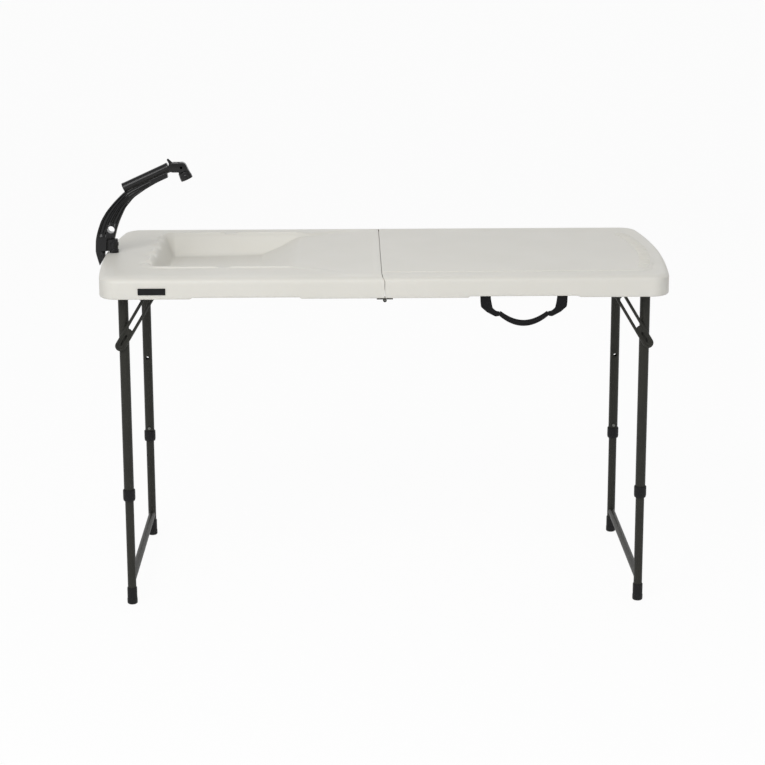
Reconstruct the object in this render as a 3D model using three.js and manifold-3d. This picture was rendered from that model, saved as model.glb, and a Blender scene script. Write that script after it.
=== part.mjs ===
// Folding fish cleaning table: two moulded halves on telescoping folding legs, with a faucet arm.
// Millimetres, +Z up, floor at zero, the long side along X and the working side towards -Y.

import * as THREE from 'three';
import { mergeVertices } from 'three/addons/utils/BufferGeometryUtils.js';
import Module from 'manifold-3d';

const wasm = await Module();
wasm.setup();

// Overall sizes of the table top
const TOP_LENGTH = 1236;
const TOP_WIDTH = 610;
const TOP_HEIGHT = 737;
const APRON_HEIGHT = 47;
const END_BOW = 15;
const CORNER_RADIUS = 42;
const SHOULDER_RADIUS = 9;
const DECK_THICKNESS = 5;
const APRON_WALL = 4.5;
const SEAM_GAP = 2;
const SEAM_WALL = 5;
const SEAM_STEP = 6;
const LIP_STEP = 3;
const LIP_END_LENGTH = 212;
const LIP_SEAM_LENGTH = 177;
const HALF_LENGTH = TOP_LENGTH / 2;
const HALF_WIDTH = TOP_WIDTH / 2;
const DECK_UNDER = TOP_HEIGHT - DECK_THICKNESS;
const APRON_BOTTOM = TOP_HEIGHT - APRON_HEIGHT;

// Clearances and cuts
const GAP = 0.3;
const OVERRUN = 4;
const WELD = 0.0001;
const ROUND_SIDES = 16;
const HOLE_SIDES = 12;
const SCREW_SIDES = 8;

// Sink basin in the left half, measured from the seam and the middle line
const BASIN_END_INSET = 113;
const BASIN_RIGHT = -196;
const BASIN_FRONT_INSET = 117;
const BASIN_BACK_INSET = 69;
const BASIN_LEFT = BASIN_END_INSET - HALF_LENGTH;
const BASIN_FRONT = BASIN_FRONT_INSET - HALF_WIDTH;
const BASIN_BACK = HALF_WIDTH - BASIN_BACK_INSET;
const BASIN_CORNER = 26;
const BASIN_DEPTH = 46;
const BASIN_DRAFT = 24;
const BASIN_RAMP = 84;
const BASIN_FLOOR_CORNER = 14;
const BASIN_WALL = 4;
const BASIN_STEPS = 5;
const BASIN_FOOT_SHARE = 0.15;
const BASIN_SIDE_SHARE = 0.85;
const RIM_WIDTH = 11;
const RIM_HEIGHT = 3.5;
const RIM_GAP_CENTRE = -344;
const RIM_GAP_WIDTH = 26;
const SCALLOP_PITCH = 100;
const SCALLOP_RADIUS = 20;
const SCALLOP_DEPTH = 3;
const SCALLOP_SPAN_SHARES = [-1.5, -0.5, 0.5, 1.5];

// Shallow ramp from the basin to the seam, as deep as this at the basin
const RAMP_DROP = 8;
const RAMP_END = -22;
const RAMP_EDGE_INSET = 14;

// Work half: one shallow groove round the work surface and a row of small ribs at its end
const GROOVE_INSET = 30;
const GROOVE_WIDTH = 4;
const GROOVE_DEPTH = 1.5;
const GROOVE_SEAM_INSET = 14;
const RIB_COUNT = 23;
const RIB_PITCH = 19;
const RIB_LENGTH = 26;
const RIB_WIDTH = 5;
const RIB_HEIGHT = 1.6;
const RIB_INSET = 36;
const RIB_BOW_SHARE = 2.8;

// Steel rails under each half
const RAIL_WIDTH = 24;
const RAIL_HEIGHT = 20;
const RAIL_WALL = 1.8;
const RAIL_SEAM_INSET = 34;
const RAIL_LEG_INSET = 36;
const BRACKET_WALL = 3;
const BRACKET_DROP = 9;
const LEG_BRACKET_LENGTH = 60;
const SCREW_RADIUS = 4.5;
const SCREW_HEAD = 1.6;
const SCREW_SHARES = [0.12, 0.5, 0.88];

// Folding legs
const LEG_END_INSET = 63;
const LEG_SIDE_INSET = 55;
const LEG_X = HALF_LENGTH - LEG_END_INSET;
const LEG_Y = HALF_WIDTH - LEG_SIDE_INSET;
const LEG_RADIUS = 10.8;
const LEG_WALL = 1.2;
const PIVOT_DROP = 24;
const OUTER_BOTTOM = 238;
const INNER_RADIUS = 9.3;
const INNER_WALL = 1.2;
const INNER_OVERLAP = 150;
const CROSS_RADIUS = 8;
const CROSS_PIN_RADIUS = 4;
const HOLE_RADIUS = 4;
const HOLE_HEIGHT = 440;
const BUTTON_HEIGHT = 268;
const BUTTON_STAND = 3.4;
const BUTTON_CLEARANCE = 0.5;

// Collars, feet and the bar between two feet
const COLLAR_HEIGHT = 25;
const COLLAR_WALL = 2.2;
const COLLAR_TAPER = 5;
const COLLAR_LIP = 2;
const FOOT_HEIGHT = 38;
const FOOT_WALL = 1.7;
const FOOT_SOLE = 8;
const FOOT_CHAMFER = 2.5;
const BAR_HEIGHT = 52;
const BAR_RADIUS = 8;

// Wire stays that hold the legs open
const STAY_PIVOT_REACH = 69;
const STAY_WIRE = 6.5;
const STAY_SPREAD = 23;
const STAY_END_REACH = 7;
const STAY_END_DROP = 126;
const STAY_PIN_RADIUS = STAY_SPREAD / 2 - STAY_WIRE - GAP;
const STAY_CLIP_THICKNESS = 2;
const STAY_CLIP_LENGTH = 34;

// Fold hinge under the seam, one at the front and one at the back
const HINGE_INSET = 13;
const HINGE_WIDTH = 24;
const HINGE_RADIUS = 4;
const HINGE_PIN_RADIUS = 1.8;
const HINGE_LEAF = 17;
const HINGE_LEAF_THICKNESS = 2;
const HINGE_KNUCKLE_SHARE = 0.34;

// Carrying handle of webbing under the front edge of the work half
const HANDLE_LEFT = 201;
const HANDLE_RIGHT = 385;
const STRAP_WIDTH = 22;
const STRAP_THICKNESS = 2.4;
const STRAP_DROP = 24;
const STRAP_TURN = 20;
const STRAP_REACH = 14;
const STRAP_LEAN = 6;
const STRAP_BEAD_RADIUS = 2;
const HANDLE_INSET = 9;
const GRIP_SAG = 22;
const GRIP_HEIGHT = 13;
const GRIP_THICKNESS = 9;
const GRIP_END_SHARE = 0.55;
const GRIP_INSET = 40;
const GRIP_DROP = 34;
const GRIP_STEPS = 20;
const GRIP_NECK_RISE = 3;
const ANCHOR_DEPTH = 12;

// Blank badge plate on the front edge
const BADGE_END_INSET = 100;
const BADGE_LENGTH = 58;
const BADGE_RISE = 10;
const BADGE_HEIGHT = 14;
const BADGE_THICKNESS = 1.4;

// Faucet arm: X from the left end of the top, Z from the deck; its outer edge, then its inner edge
const ARM_THICKNESS = 26;
const ARM_WALL = 3.2;
const ARM_WEB = 5;
const ARM_OUTER = [[-12, -28], [-20, 6], [-19, 31], [-14, 51], [-6, 73], [6, 93], [23, 113],
  [41, 129], [51, 134], [144, 176]];
const ARM_INNER = [[144, 168], [118, 156], [94, 142], [68, 124], [48, 100], [34, 70], [27, 50],
  [22, 30], [21, 5], [1, 5], [-0.8, -3], [-0.8, -9]];
const ARM_CENTRE = [188, -2];
const ARM_POCKET_FROM = 2;
const ARM_POCKET_TO = 8;
const ARM_POCKET_SKIP = 3;
const ARM_POCKET_LAST = 8;
const ARM_HOLE_X = 14;
const ARM_HOLE_Z = 53;
const ARM_HOLE_RADIUS = 8;
const SPOUT_START = [45, 144];
const SPOUT_END = [146, 190];
const SPOUT_RADIUS = 11.5;
const SPOUT_BORE = 8;
const SPOUT_DEPTH = 20;
const NECK_LENGTH = 20;
const NECK_RADIUS = 10.5;
const HEAD_ELBOW = [174, 190];
const HEAD_WIDTH = 17;
const HEAD_RADIUS = 11;
const HEAD_NOZZLE_RADIUS = 12.8;
const HEAD_TIP = [186, 163];
const HEAD_TIP_RADIUS = 13.8;
const HEAD_BORE = 11.5;
const HEAD_BORE_DEPTH = 2.5;
const HEAD_PIN_RADIUS = 3;
const HEAD_CHEEK = 3;
const LEVER_LENGTH = 14;
const LEVER_WIDTH = 9;
const LEVER_THICKNESS = 4;
const TAB_SHARES = [[0.1, -0.6], [0.9, -0.6], [0.4, 0.2], [-0.1, 0.9], [-0.3, 0.6]];
const SOCKET_X = 20;
const SOCKET_RADIUS = 9;
const SOCKET_RING = 1.5;
const SOCKET_TOP = 31;
const PEG_RADIUS = 5;
const PEG_DROP = 14;

// Derived heights and places
const PIVOT_Z = DECK_UNDER - PIVOT_DROP;
const STAY_Y = LEG_Y + LEG_RADIUS + GAP + STAY_WIRE / 2;
const RAIL_OUTER_Y = HALF_WIDTH - APRON_WALL - GAP;
const RAIL_INNER_Y = RAIL_OUTER_Y - RAIL_WIDTH;
const HINGE_Z = APRON_BOTTOM - GAP - HINGE_RADIUS;
const HANDLE_TOP = APRON_BOTTOM;
const HANDLE_Y = HANDLE_INSET - HALF_WIDTH;
const HINGE_Y = HALF_WIDTH - HINGE_INSET;
const STAY_PIVOT_X = LEG_X - STAY_PIVOT_REACH;
const STAY_END_X = LEG_X + STAY_END_REACH;
const STAY_END_Z = PIVOT_Z - STAY_END_DROP;
// The faucet reaches past the left end, so the seam stands this far right of the middle.
const SEAM_X = -ARM_OUTER[1][0] / 2;

// Materials
const resin = new THREE.MeshStandardMaterial({ color: 0xd9d8d1, roughness: 0.55, metalness: 0 });
const steel = new THREE.MeshStandardMaterial({ color: 0x4b4c46, roughness: 0.45, metalness: 0.5 });
const blackPlastic = new THREE.MeshStandardMaterial({ color: 0x1b1b1c, roughness: 0.6, metalness: 0 });
const webbing = new THREE.MeshStandardMaterial({ color: 0x222224, roughness: 0.9, metalness: 0 });

// Booleans: a geometry becomes a solid, and a solid becomes a mesh
function solid(geometry) {
  const bare = geometry.clone();
  bare.deleteAttribute('normal');
  bare.deleteAttribute('uv');
  const merged = mergeVertices(bare, WELD);
  return new wasm.Manifold(new wasm.Mesh({
    numProp: 3,
    vertProperties: new Float32Array(merged.attributes.position.array),
    triVerts: new Uint32Array(merged.index.array),
  }));
}

function meshOf(name, body, material) {
  const data = body.getMesh();
  const geometry = new THREE.BufferGeometry();
  geometry.setAttribute('position', new THREE.BufferAttribute(data.vertProperties, 3));
  geometry.setIndex(new THREE.BufferAttribute(data.triVerts, 1));
  geometry.computeVertexNormals();
  const mesh = new THREE.Mesh(geometry, material);
  mesh.name = name;
  return mesh;
}

function block(x0, x1, y0, y1, z0, z1) {
  const geometry = new THREE.BoxGeometry(x1 - x0, y1 - y0, z1 - z0);
  geometry.translate((x0 + x1) / 2, (y0 + y1) / 2, (z0 + z1) / 2);
  return solid(geometry);
}

// A round bar between two points, as wide as the given radii
function bar(from, to, radius, endRadius = radius, sides = ROUND_SIDES) {
  const a = new THREE.Vector3(...from);
  const b = new THREE.Vector3(...to);
  const geometry = new THREE.CylinderGeometry(endRadius, radius, a.distanceTo(b), sides);
  const turn = new THREE.Quaternion().setFromUnitVectors(
    new THREE.Vector3(0, 1, 0), b.clone().sub(a).normalize());
  geometry.applyQuaternion(turn);
  geometry.translate((a.x + b.x) / 2, (a.y + b.y) / 2, (a.z + b.z) / 2);
  return solid(geometry);
}

// A ring or tube turned about a vertical axis from its closed profile of radius and height
function turned(profile, x, y) {
  const points = profile.map(([r, z]) => new THREE.Vector2(r, z));
  points.push(points[0].clone());
  const geometry = new THREE.LatheGeometry(points, ROUND_SIDES);
  geometry.rotateX(Math.PI / 2);
  geometry.translate(x, y, 0);
  const body = solid(geometry);
  if (body.volume() > 0) return body;
  geometry.setIndex(Array.from(geometry.index.array).reverse());
  return solid(geometry);
}

// An outline in X and Z, extruded evenly to both sides of Y
function slab(shape, thickness, y, curveSegments = 8) {
  const geometry = new THREE.ExtrudeGeometry(shape, {
    depth: thickness, bevelEnabled: false, curveSegments });
  geometry.rotateX(Math.PI / 2);
  geometry.translate(0, y + thickness / 2, 0);
  return solid(geometry);
}

// The plan outline of the whole top, drawn in by an inset: bowed ends and rounded corners
function topOutline(inset) {
  const x = HALF_LENGTH - inset;
  const y = HALF_WIDTH - inset;
  const r = CORNER_RADIUS - inset;
  const side = x - END_BOW;
  const shape = new THREE.Shape();
  shape.moveTo(-(side - r), -y);
  shape.lineTo(side - r, -y);
  shape.quadraticCurveTo(side - r / 4, -y, side, -(y - r));
  shape.quadraticCurveTo(x + END_BOW, 0, side, y - r);
  shape.quadraticCurveTo(side - r / 4, y, side - r, y);
  shape.lineTo(-(side - r), y);
  shape.quadraticCurveTo(-(side - r / 4), y, -side, y - r);
  shape.quadraticCurveTo(-(x + END_BOW), 0, -side, -(y - r));
  shape.quadraticCurveTo(-(side - r / 4), -y, -(side - r), -y);
  return shape;
}

function prism(shape, z0, z1, curveSegments = 8) {
  const geometry = new THREE.ExtrudeGeometry(shape, {
    depth: z1 - z0, bevelEnabled: false, curveSegments });
  geometry.translate(0, 0, z0);
  return solid(geometry);
}

// The whole top as one shell with a round shoulder, open below
function topShell() {
  const crown = new THREE.ExtrudeGeometry(topOutline(SHOULDER_RADIUS), {
    depth: APRON_HEIGHT - 2 * SHOULDER_RADIUS, bevelEnabled: true, bevelThickness: SHOULDER_RADIUS,
    bevelSize: SHOULDER_RADIUS, bevelSegments: 4, curveSegments: 8 });
  crown.translate(0, 0, APRON_BOTTOM + SHOULDER_RADIUS);
  const skirt = prism(topOutline(0), APRON_BOTTOM, TOP_HEIGHT - SHOULDER_RADIUS);
  const hollow = prism(topOutline(APRON_WALL), APRON_BOTTOM - OVERRUN, DECK_UNDER);
  let shell = solid(crown).add(skirt).subtract(hollow);
  const lipEnd = HALF_LENGTH - LIP_END_LENGTH;
  for (const [x0, x1] of [[-lipEnd, -LIP_SEAM_LENGTH], [LIP_SEAM_LENGTH, lipEnd]]) {
    shell = shell.subtract(block(x0, x1, -HALF_WIDTH - OVERRUN, HALF_WIDTH + OVERRUN,
      APRON_BOTTOM - OVERRUN, APRON_BOTTOM + LIP_STEP));
  }
  return shell;
}

// A rounded rectangle as a ring of points, one height for every ring
function ringPoints(x0, x1, y0, y1, r, steps) {
  const points = [];
  const corners = [[x1 - r, y1 - r, 0], [x0 + r, y1 - r, 1], [x0 + r, y0 + r, 2], [x1 - r, y0 + r, 3]];
  for (const [cx, cy, quarter] of corners) {
    for (let k = 0; k <= steps; k += 1) {
      const angle = (quarter + k / steps) * Math.PI / 2;
      points.push([cx + r * Math.cos(angle), cy + r * Math.sin(angle)]);
    }
  }
  return points;
}

// A closed body through rings of equal length, from the lowest ring to the highest
function loft(rings) {
  const n = rings[0].length;
  const vertices = rings.flat();
  const index = [];
  for (let k = 0; k + 1 < rings.length; k += 1) {
    for (let i = 0; i < n; i += 1) {
      const a = k * n + i;
      const b = k * n + (i + 1) % n;
      index.push(a, b, b + n, a, b + n, a + n);
    }
  }
  const top = (rings.length - 1) * n;
  for (let i = 1; i + 1 < n; i += 1) {
    index.push(0, i + 1, i);
    index.push(top, top + i, top + i + 1);
  }
  const geometry = new THREE.BufferGeometry();
  geometry.setAttribute('position', new THREE.BufferAttribute(new Float32Array(vertices.flat()), 3));
  geometry.setIndex(index);
  return solid(geometry);
}

// The sink's inside grown by a wall: steep sides, and a long ramp towards the seam
function basinBody(grow, above) {
  const rings = [];
  const floor = TOP_HEIGHT - BASIN_DEPTH - grow;
  for (const share of [0, BASIN_FOOT_SHARE, 1]) {
    const z = floor + share * (BASIN_DEPTH + grow);
    const side = BASIN_DRAFT * (share === 0 ? 1 : (1 - share) * BASIN_SIDE_SHARE);
    const ramp = BASIN_RAMP * (1 - share);
    const r = BASIN_FLOOR_CORNER + (BASIN_CORNER - BASIN_FLOOR_CORNER) * share + grow;
    rings.push(ringPoints(BASIN_LEFT + side - grow, BASIN_RIGHT - ramp + grow,
      BASIN_FRONT + side - grow, BASIN_BACK - side + grow, r, BASIN_STEPS)
      .map(([x, y]) => [x, y, z]));
  }
  if (above > 0) rings.push(rings.at(-1).map(([x, y]) => [x, y, TOP_HEIGHT + above]));
  return loft(rings);
}

// The low rim round the sink, with one gap in its front and one in its back
function basinRim() {
  const ring = (grow, z0, z1) => {
    const low = ringPoints(BASIN_LEFT - grow, BASIN_RIGHT + grow, BASIN_FRONT - grow,
      BASIN_BACK + grow, BASIN_CORNER + grow, BASIN_STEPS);
    return loft([low.map(([x, y]) => [x, y, z0]), low.map(([x, y]) => [x, y, z1])]);
  };
  const outer = ring(RIM_WIDTH, TOP_HEIGHT - DECK_THICKNESS / 2, TOP_HEIGHT + RIM_HEIGHT);
  const notch = block(RIM_GAP_CENTRE - RIM_GAP_WIDTH / 2, RIM_GAP_CENTRE + RIM_GAP_WIDTH / 2,
    -HALF_WIDTH, HALF_WIDTH, TOP_HEIGHT, TOP_HEIGHT + RIM_HEIGHT + OVERRUN);
  const open = block(BASIN_RIGHT - BASIN_CORNER, BASIN_RIGHT + RIM_WIDTH + OVERRUN, -HALF_WIDTH,
    HALF_WIDTH, TOP_HEIGHT, TOP_HEIGHT + RIM_HEIGHT + OVERRUN);
  return outer.subtract(notch).subtract(open);
}

// The shallow ramp between sink and seam: a wedge that widens towards the seam
function rampWedge(sink, surface, top) {
  const wide = HALF_WIDTH - RAMP_EDGE_INSET;
  const corners = (low, high) => [[sink, BASIN_FRONT, low], [RAMP_END, -wide, high],
    [RAMP_END, wide, high], [sink, BASIN_BACK, low]];
  return loft([corners(surface - RAMP_DROP, surface), corners(top, top)]);
}

// The deck is carried down below the ramp, clear of the rails beside it.
function rampFloor() {
  const wide = RAIL_INNER_Y - BRACKET_WALL - GAP;
  const room = block(BASIN_RIGHT - BASIN_RAMP, RAMP_END, -wide, wide, APRON_BOTTOM, TOP_HEIGHT);
  return rampWedge(BASIN_RIGHT - RIM_WIDTH, DECK_UNDER, DECK_UNDER + DECK_THICKNESS / 2)
    .intersect(room);
}

// A full-width piece of space; on the deck the seam stands a step to the left of the apron's seam.
function sidePart(x0, x1, z0, z1) {
  return block(x0, x1, -HALF_WIDTH - OVERRUN, HALF_WIDTH + OVERRUN, z0, z1);
}

// Half of the table with the sink
function sinkHalf(shell) {
  const keep = sidePart(-HALF_LENGTH - OVERRUN, -SEAM_GAP / 2, APRON_BOTTOM - OVERRUN,
    TOP_HEIGHT - SHOULDER_RADIUS).add(sidePart(-HALF_LENGTH - OVERRUN, -SEAM_GAP / 2 - SEAM_STEP,
    APRON_BOTTOM - OVERRUN, TOP_HEIGHT + OVERRUN));
  let half = shell.intersect(keep).add(seamWall(-1));
  half = half.add(basinRim()).add(basinBody(BASIN_WALL, 0));
  half = half.add(rampFloor()).subtract(basinBody(0, RIM_HEIGHT + OVERRUN));
  half = half.subtract(rampWedge(BASIN_RIGHT - RIM_WIDTH, TOP_HEIGHT, TOP_HEIGHT + OVERRUN));
  const middle = (BASIN_FRONT + BASIN_BACK) / 2;
  for (const share of SCALLOP_SPAN_SHARES) {
    const y = middle + share * SCALLOP_PITCH;
    half = half.subtract(bar([BASIN_LEFT, y, TOP_HEIGHT - SCALLOP_DEPTH],
      [BASIN_LEFT, y, TOP_HEIGHT + RIM_HEIGHT + OVERRUN], SCALLOP_RADIUS));
  }
  const peg = SOCKET_X - HALF_LENGTH;
  return half.subtract(bar([peg, 0, DECK_UNDER - OVERRUN], [peg, 0, TOP_HEIGHT + OVERRUN],
    PEG_RADIUS + GAP));
}

// The wall that closes each half along the seam, notched where a leg passes
function seamWall(side) {
  const near = side * SEAM_GAP / 2 - (side < 0 ? SEAM_STEP : 0);
  const far = near + side * SEAM_WALL;
  let wall = block(Math.min(near, far), Math.max(near, far), -HALF_WIDTH + APRON_WALL / 2,
    HALF_WIDTH - APRON_WALL / 2, APRON_BOTTOM + LIP_STEP, TOP_HEIGHT - DECK_THICKNESS / 2);
  for (const front of [-1, 1]) {
    const reach = LEG_RADIUS + COLLAR_WALL + OVERRUN;
    wall = wall.subtract(block(Math.min(near, far) - OVERRUN, Math.max(near, far) + OVERRUN,
      front * LEG_Y - reach, front * LEG_Y + reach, APRON_BOTTOM - OVERRUN, PIVOT_Z + reach));
  }
  return wall;
}

// The work half: a groove round the deck and small ribs along its end
function workHalf(shell) {
  const keep = sidePart(SEAM_GAP / 2, HALF_LENGTH + OVERRUN, APRON_BOTTOM - OVERRUN,
    TOP_HEIGHT + OVERRUN).add(sidePart(SEAM_GAP / 2 - SEAM_STEP, HALF_LENGTH + OVERRUN,
    TOP_HEIGHT - SHOULDER_RADIUS + GAP, TOP_HEIGHT + OVERRUN));
  let half = shell.intersect(keep).add(seamWall(1));
  const band = prism(topOutline(GROOVE_INSET), TOP_HEIGHT - GROOVE_DEPTH, TOP_HEIGHT + OVERRUN)
    .subtract(prism(topOutline(GROOVE_INSET + GROOVE_WIDTH), TOP_HEIGHT - GROOVE_DEPTH - OVERRUN,
      TOP_HEIGHT + 2 * OVERRUN));
  const right = block(GROOVE_SEAM_INSET, HALF_LENGTH, -HALF_WIDTH, HALF_WIDTH,
    TOP_HEIGHT - GROOVE_DEPTH - OVERRUN, TOP_HEIGHT + OVERRUN);
  half = half.subtract(band.intersect(right));
  for (let k = 0; k < RIB_COUNT; k += 1) {
    const y = (k - (RIB_COUNT - 1) / 2) * RIB_PITCH;
    const bow = END_BOW * RIB_BOW_SHARE * (y / HALF_WIDTH) ** 2;
    const end = HALF_LENGTH - RIB_INSET - bow;
    half = half.add(block(end - RIB_LENGTH, end, y - RIB_WIDTH / 2, y + RIB_WIDTH / 2,
      TOP_HEIGHT - DECK_THICKNESS / 2, TOP_HEIGHT + RIB_HEIGHT));
  }
  return half;
}

// An oval with round ends about two points in X and Z
function oval(ax, az, bx, bz, r) {
  const along = Math.atan2(bz - az, bx - ax);
  const shape = new THREE.Shape();
  shape.absarc(bx, bz, r, along - Math.PI / 2, along + Math.PI / 2, false);
  shape.absarc(ax, az, r, along + Math.PI / 2, along + 3 * Math.PI / 2, false);
  shape.closePath();
  return shape;
}

function outline(points) {
  return new THREE.Shape(points.map(([x, z]) => new THREE.Vector2(x, z)));
}

// A channel open below, with its screw heads, its leg bracket and its stay bracket
function rail(side, front) {
  const top = DECK_UNDER - GAP;
  const ends = [side * RAIL_SEAM_INSET, side * (LEG_X - RAIL_LEG_INSET)].sort((a, b) => a - b);
  const across = [front * RAIL_INNER_Y, front * RAIL_OUTER_Y].sort((a, b) => a - b);
  const inside = [across[0] + RAIL_WALL, across[1] - RAIL_WALL];
  let body = block(...ends, ...across, top - RAIL_HEIGHT, top);
  body = body.subtract(block(ends[0] - OVERRUN, ends[1] + OVERRUN, ...inside,
    top - RAIL_HEIGHT - OVERRUN, top - RAIL_WALL));
  const middle = front * (RAIL_INNER_Y + RAIL_WIDTH / 2);
  for (const share of SCREW_SHARES) {
    const x = ends[0] + share * (ends[1] - ends[0]);
    body = body.add(bar([x, middle, top - RAIL_WALL - SCREW_HEAD], [x, middle, top - RAIL_WALL / 2],
      SCREW_RADIUS, SCREW_RADIUS, SCREW_SIDES));
  }
  const plate = [front * (RAIL_INNER_Y - BRACKET_WALL), front * RAIL_INNER_Y].sort((a, b) => a - b);
  const lug = (x0, x1) => block(Math.min(x0, x1), Math.max(x0, x1), ...plate,
    PIVOT_Z - BRACKET_DROP, top);
  body = body.add(lug(side * (LEG_X - LEG_BRACKET_LENGTH), side * (LEG_X + BRACKET_DROP)));
  body = body.subtract(bar([side * LEG_X, 0, PIVOT_Z], [side * LEG_X, front * HALF_WIDTH, PIVOT_Z],
    CROSS_PIN_RADIUS + GAP));
  body = body.add(lug(side * (STAY_PIVOT_X - BRACKET_DROP), side * (STAY_PIVOT_X + BRACKET_DROP)));
  const pinEnd = STAY_Y - STAY_WIRE / 2 + GAP;
  body = body.add(bar([side * STAY_PIVOT_X, front * pinEnd, PIVOT_Z],
    [side * STAY_PIVOT_X, front * RAIL_INNER_Y, PIVOT_Z], STAY_PIN_RADIUS));
  return body;
}

// The bar that the two legs of one end turn on, with a pin at each end
function crossBar(side) {
  const reach = RAIL_INNER_Y - BRACKET_WALL - GAP;
  const x = side * LEG_X;
  return bar([x, -reach, PIVOT_Z], [x, reach, PIVOT_Z], CROSS_RADIUS)
    .add(bar([x, -RAIL_INNER_Y, PIVOT_Z], [x, RAIL_INNER_Y, PIVOT_Z], CROSS_PIN_RADIUS));
}

// The upper leg tube, cross-drilled for the bar and for the locking buttons
function upperTube(side, front) {
  const x = side * LEG_X;
  const y = front * LEG_Y;
  const bore = LEG_RADIUS - LEG_WALL;
  const top = PIVOT_Z + LEG_RADIUS;
  let tube = turned([[bore, OUTER_BOTTOM], [LEG_RADIUS, OUTER_BOTTOM], [LEG_RADIUS, top], [bore, top]],
    x, y);
  tube = tube.subtract(bar([x, y - LEG_RADIUS - OVERRUN, PIVOT_Z], [x, y + LEG_RADIUS + OVERRUN,
    PIVOT_Z], CROSS_RADIUS + GAP));
  const through = front > 0 ? LEG_RADIUS + OVERRUN : 0;
  tube = tube.subtract(bar([x, y - front * (LEG_RADIUS + OVERRUN), HOLE_HEIGHT],
    [x, y + through, HOLE_HEIGHT], HOLE_RADIUS, HOLE_RADIUS, HOLE_SIDES));
  return tube.subtract(bar([x, y, BUTTON_HEIGHT], [x, y - front * (LEG_RADIUS + OVERRUN),
    BUTTON_HEIGHT], HOLE_RADIUS, HOLE_RADIUS, HOLE_SIDES));
}

// The sleeve on the lower end of an upper tube
function collar(side, front) {
  const bottom = OUTER_BOTTOM - GAP - COLLAR_LIP;
  const bore = LEG_RADIUS + GAP;
  const outer = bore + COLLAR_WALL;
  const profile = [[INNER_RADIUS + GAP, bottom], [outer - COLLAR_WALL / 2, bottom],
    [outer, bottom + COLLAR_TAPER], [outer, bottom + COLLAR_HEIGHT], [bore, bottom + COLLAR_HEIGHT],
    [bore, OUTER_BOTTOM - GAP], [INNER_RADIUS + GAP, OUTER_BOTTOM - GAP]];
  return turned(profile, side * LEG_X, front * LEG_Y);
}

function button(side, front) {
  const y = front * LEG_Y;
  const inner = y - front * (INNER_RADIUS + GAP);
  const outer = y - front * (LEG_RADIUS + BUTTON_STAND);
  return bar([side * LEG_X, inner, BUTTON_HEIGHT], [side * LEG_X, outer, BUTTON_HEIGHT],
    HOLE_RADIUS - BUTTON_CLEARANCE, HOLE_RADIUS - 2 * BUTTON_CLEARANCE, HOLE_SIDES);
}

function lowerTube(side, front) {
  const x = side * LEG_X;
  const y = front * LEG_Y;
  const bore = INNER_RADIUS - INNER_WALL;
  const low = FOOT_SOLE + GAP;
  const high = OUTER_BOTTOM + INNER_OVERLAP;
  const tube = turned([[bore, low], [INNER_RADIUS, low], [INNER_RADIUS, high], [bore, high]], x, y);
  return tube.subtract(bar([x, y, BUTTON_HEIGHT], [x, y - front * (INNER_RADIUS + OVERRUN),
    BUTTON_HEIGHT], HOLE_RADIUS, HOLE_RADIUS, HOLE_SIDES));
}

function foot(side, front) {
  const bore = INNER_RADIUS + GAP;
  const outer = bore + FOOT_WALL;
  const profile = [[0, 0], [outer - FOOT_CHAMFER, 0], [outer, FOOT_CHAMFER], [outer, FOOT_HEIGHT],
    [bore, FOOT_HEIGHT], [bore, FOOT_SOLE], [0, FOOT_SOLE]];
  return turned(profile, side * LEG_X, front * LEG_Y);
}

// The bar between two feet, coped to the lower tubes
function footBar(side) {
  const x = side * LEG_X;
  let body = bar([x, -LEG_Y, BAR_HEIGHT], [x, LEG_Y, BAR_HEIGHT], BAR_RADIUS);
  for (const y of [-LEG_Y, LEG_Y]) {
    body = body.subtract(bar([x, y, BAR_HEIGHT - 2 * BAR_RADIUS], [x, y, BAR_HEIGHT + 2 * BAR_RADIUS],
      INNER_RADIUS + GAP));
    const far = Math.sign(y) * (LEG_Y + BAR_RADIUS);
    body = body.subtract(block(x - 2 * BAR_RADIUS, x + 2 * BAR_RADIUS, Math.min(y, far),
      Math.max(y, far), BAR_HEIGHT - 2 * BAR_RADIUS, BAR_HEIGHT + 2 * BAR_RADIUS));
  }
  return body;
}

// A closed loop of wire from its pivot under the deck to the leg, with a clip plate at the leg
function stay(side, front) {
  const from = [side * STAY_PIVOT_X, PIVOT_Z];
  const to = [side * STAY_END_X, STAY_END_Z];
  const half = STAY_SPREAD / 2;
  const outer = slab(oval(...from, ...to, half), STAY_WIRE, front * STAY_Y);
  const inner = slab(oval(...from, ...to, half - STAY_WIRE), STAY_WIRE + OVERRUN, front * STAY_Y);
  const length = Math.hypot(to[0] - from[0], to[1] - from[1]);
  const share = STAY_CLIP_LENGTH / length;
  const near = [to[0] + share * (from[0] - to[0]), to[1] + share * (from[1] - to[1])];
  const clip = slab(oval(...near, ...to, half - STAY_WIRE / 2), STAY_CLIP_THICKNESS, front * STAY_Y);
  return outer.subtract(inner).add(clip);
}

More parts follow.
